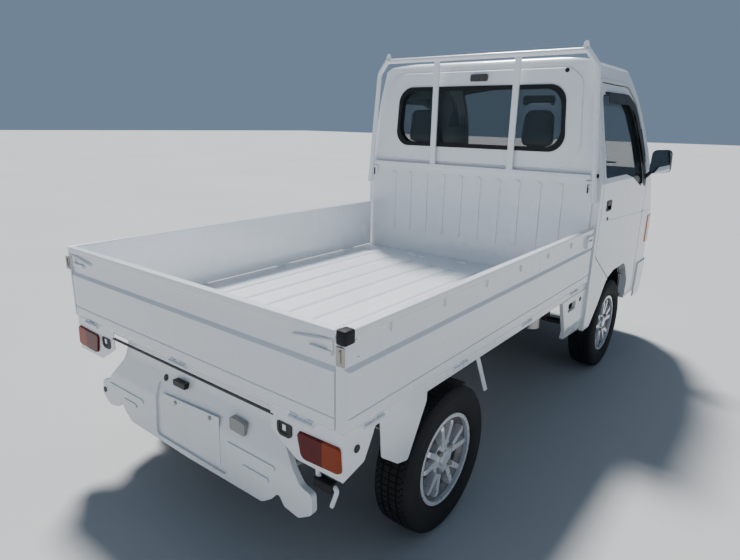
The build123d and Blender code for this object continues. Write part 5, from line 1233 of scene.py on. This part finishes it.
@dataclass
class Coachwork:
    """The carried-over CAD nodes, each in its finish, with second finishes where paint ends."""

    slots: dict[str, str]
    cab_middle: Vector = field(default_factory=lambda: Vector((0.85, 0.0, 1.10)))
    cab_low_z: float = 0.43
    inwards_share: float = 0.3
    lining_from_z: float = 1.45
    lining_slope: float = -0.4
    arch_centre: Vector = field(default_factory=lambda: Vector((AXLES_X["front"], 0.0, AXLE_Z)))
    arch_reach: float = 0.42
    arch_top: float = 0.66
    arch_half: float = 0.70
    arch_radial_share: float = 0.35
    arch_wall_half: float = 0.5
    flat_share: float = 0.7
    floor_z: float = 0.72
    door_window: Vector = field(default_factory=lambda: Vector((0.76, 0.0, 1.38)))
    window_low_z: float = 1.10
    window_edge_share: float = 0.6
    windscreen: Vector = field(default_factory=lambda: Vector((1.33, 0.0, 1.42)))
    screen_rear_x: float = 1.12
    screen_half: float = 0.66
    screen_z: Pair = (1.16, 1.69)
    screen_edge_share: float = 0.35
    door_inside_share: float = 0.5
    mirror_share: float = 0.85
    mirror_inner_y: float = 0.765
    mirror_low_z: float = 1.17
    drum_radius: float = 0.0975
    drum_face: float = 0.6569
    barrel_inner: float = 0.12
    barrel_face: float = 0.690
    barrel_reach: float = 0.02

    def part_finish(self, name: str, finish: Finish, wanted: Callable[[Vector, Vector], bool]) -> None:
        """Gives some of a node's faces a finish of their own.

        Args:
            name: The node.
            finish: The finish of those faces.
            wanted: Says of a face's middle and outward direction whether it is one of them.
        """
        mesh = bpy.data.objects[name].data
        mesh.materials.append(finish.material())
        index = len(mesh.materials) - 1
        for face in mesh.polygons:
            if wanted(face.center, face.normal):
                face.material_index = index

    def inside_cab(self, middle: Vector, out: Vector) -> bool:
        """Says whether a face looks into the cab."""
        inwards = self.cab_middle - middle
        return out.dot(inwards.normalized()) > self.inwards_share and middle.z > self.cab_low_z

    def lining(self, middle: Vector, out: Vector) -> bool:
        """Says whether a face belongs to the roof lining."""
        return middle.z > self.lining_from_z and out.z < self.lining_slope and self.inside_cab(middle, out)

    def underneath(self, middle: Vector, out: Vector) -> bool:
        """Says whether a cab face lies in a wheel arch or under the floor.

        Args:
            middle: The face's middle.
            out: Its outward direction.

        Returns:
            True where it takes underseal.
        """
        to_hub = self.arch_centre - middle
        distance = math.hypot(to_hub.x, to_hub.z)
        in_arch = distance < self.arch_reach and middle.z < self.arch_top and abs(middle.y) < self.arch_half
        radial = (out.x * to_hub.x + out.z * to_hub.z) > self.arch_radial_share * distance
        wall = abs(middle.y) < self.arch_wall_half and out.y * math.copysign(1.0, middle.y) > self.flat_share
        floor = out.z < -self.flat_share and middle.z < self.floor_z
        return (in_arch and (radial or wall)) or floor

    def window_edge(self, middle: Vector, out: Vector) -> bool:
        """Says whether a face of a door lines its window.

        Args:
            middle: The face's middle.
            out: Its outward direction.

        Returns:
            True where it takes the seal's rubber.
        """
        to_window = self.door_window - middle
        inwards = out.x * to_window.x + out.z * to_window.z
        return middle.z > self.window_low_z and abs(out.y) < self.window_edge_share and inwards > 0.0

    def screen_edge(self, middle: Vector, out: Vector) -> bool:
        """Says whether a face of the cab lines the windscreen.

        Args:
            middle: The face's middle.
            out: Its outward direction.

        Returns:
            True where it takes the seal's rubber.
        """
        to_screen = self.windscreen - middle
        inwards = out.y * to_screen.y + out.z * to_screen.z
        beside = middle.x > self.screen_rear_x and abs(middle.y) < self.screen_half
        level = self.screen_z[0] < middle.z < self.screen_z[1]
        return beside and level and abs(out.x) < self.screen_edge_share and inwards > 0.0

    def mirror_glass(self, middle: Vector, out: Vector) -> bool:
        """Says whether a face is the glass of a door mirror."""
        outside = abs(middle.y) > self.mirror_inner_y and middle.z > self.mirror_low_z
        return out.x < -self.mirror_share and outside

    def door_finishes(self, side: str, sign: int) -> None:
        """Gives a door's lining, window edge and mirror glass their own finishes.

        Args:
            side: Name of the side.
            sign: Sign of its Y.
        """
        def looks_in(middle: Vector, out: Vector) -> bool:
            """Says whether a door's face looks into the cab."""
            return out.y * sign < -self.door_inside_share

        self.part_finish(f"door_shell_{side}", GREY_PLASTIC, looks_in)
        self.part_finish(f"door_shell_{side}", BLACK_RUBBER, self.window_edge)
        self.part_finish(f"door_mirror_{side}", SILVERED, self.mirror_glass)

    def wheel_finishes(self, name: str, axle_x: float) -> None:
        """Gives a wheel's drum and the inside of its barrel their own finishes.

        Args:
            name: The rim's node.
            axle_x: Where its axle lies.
        """
        def reach(middle: Vector) -> float:
            """Gives how far a point is from the axle."""
            return math.hypot(middle.x - axle_x, middle.z - AXLE_Z)

        def in_barrel(middle: Vector, out: Vector) -> bool:
            """Says whether a face lies inside the barrel."""
            inwards = out.x * (axle_x - middle.x) + out.z * (AXLE_Z - middle.z) > self.barrel_reach
            return inwards and reach(middle) > self.barrel_inner and abs(middle.y) < self.barrel_face

        def on_drum(middle: Vector, out: Vector) -> bool:
            """Says whether a face belongs to the brake drum."""
            return reach(middle) < self.drum_radius and abs(middle.y) < self.drum_face

        self.part_finish(name, DARK_BARREL_ALLOY, in_barrel)
        self.part_finish(name, CAST_IRON, on_drum)

    def build(self) -> None:
        """Dresses every CAD node."""
        for name, slot in self.slots.items():
            NODE_FINISHES.get(name, SLOT_FINISHES[slot]).dress(bpy.data.objects[name])
        self.part_finish("cab_shell", GREY_PLASTIC, self.inside_cab)
        self.part_finish("cab_shell", HEADLINER, self.lining)
        self.part_finish("cab_shell", UNDERSEAL, self.underneath)
        self.part_finish("cab_shell", BLACK_RUBBER, self.screen_edge)
        self.part_finish("inside_mirror", SILVERED, lambda middle, out: out.x < -FACING)
        for side, sign in SIDES.items():
            self.door_finishes(side, sign)
            for end, axle_x in AXLES_X.items():
                self.wheel_finishes(f"rim_{end}_{side}", axle_x)


def main() -> None:
    """Builds the classes in order and reports their pieces."""
    logging.basicConfig(level=logging.INFO, format="%(name)s: %(message)s")
    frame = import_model()
    slots = {part["node"]: part["material_slot"] for part in frame["record"]["subparts"]}
    assemblies = (Coachwork(slots), Tyres(), WheelFittings(), Seats(), Buttons(), BedFittings(),
                  CabFittings(), Exhaust(), Studio())
    for assembly in assemblies:
        before = set(bpy.data.objects.keys())
        assembly.build()
        made = sorted(set(bpy.data.objects.keys()) - before)
        LOG.info("%s built: %s", type(assembly).__name__, ", ".join(made) or "finishes")


if __name__ == "__main__":
    main()
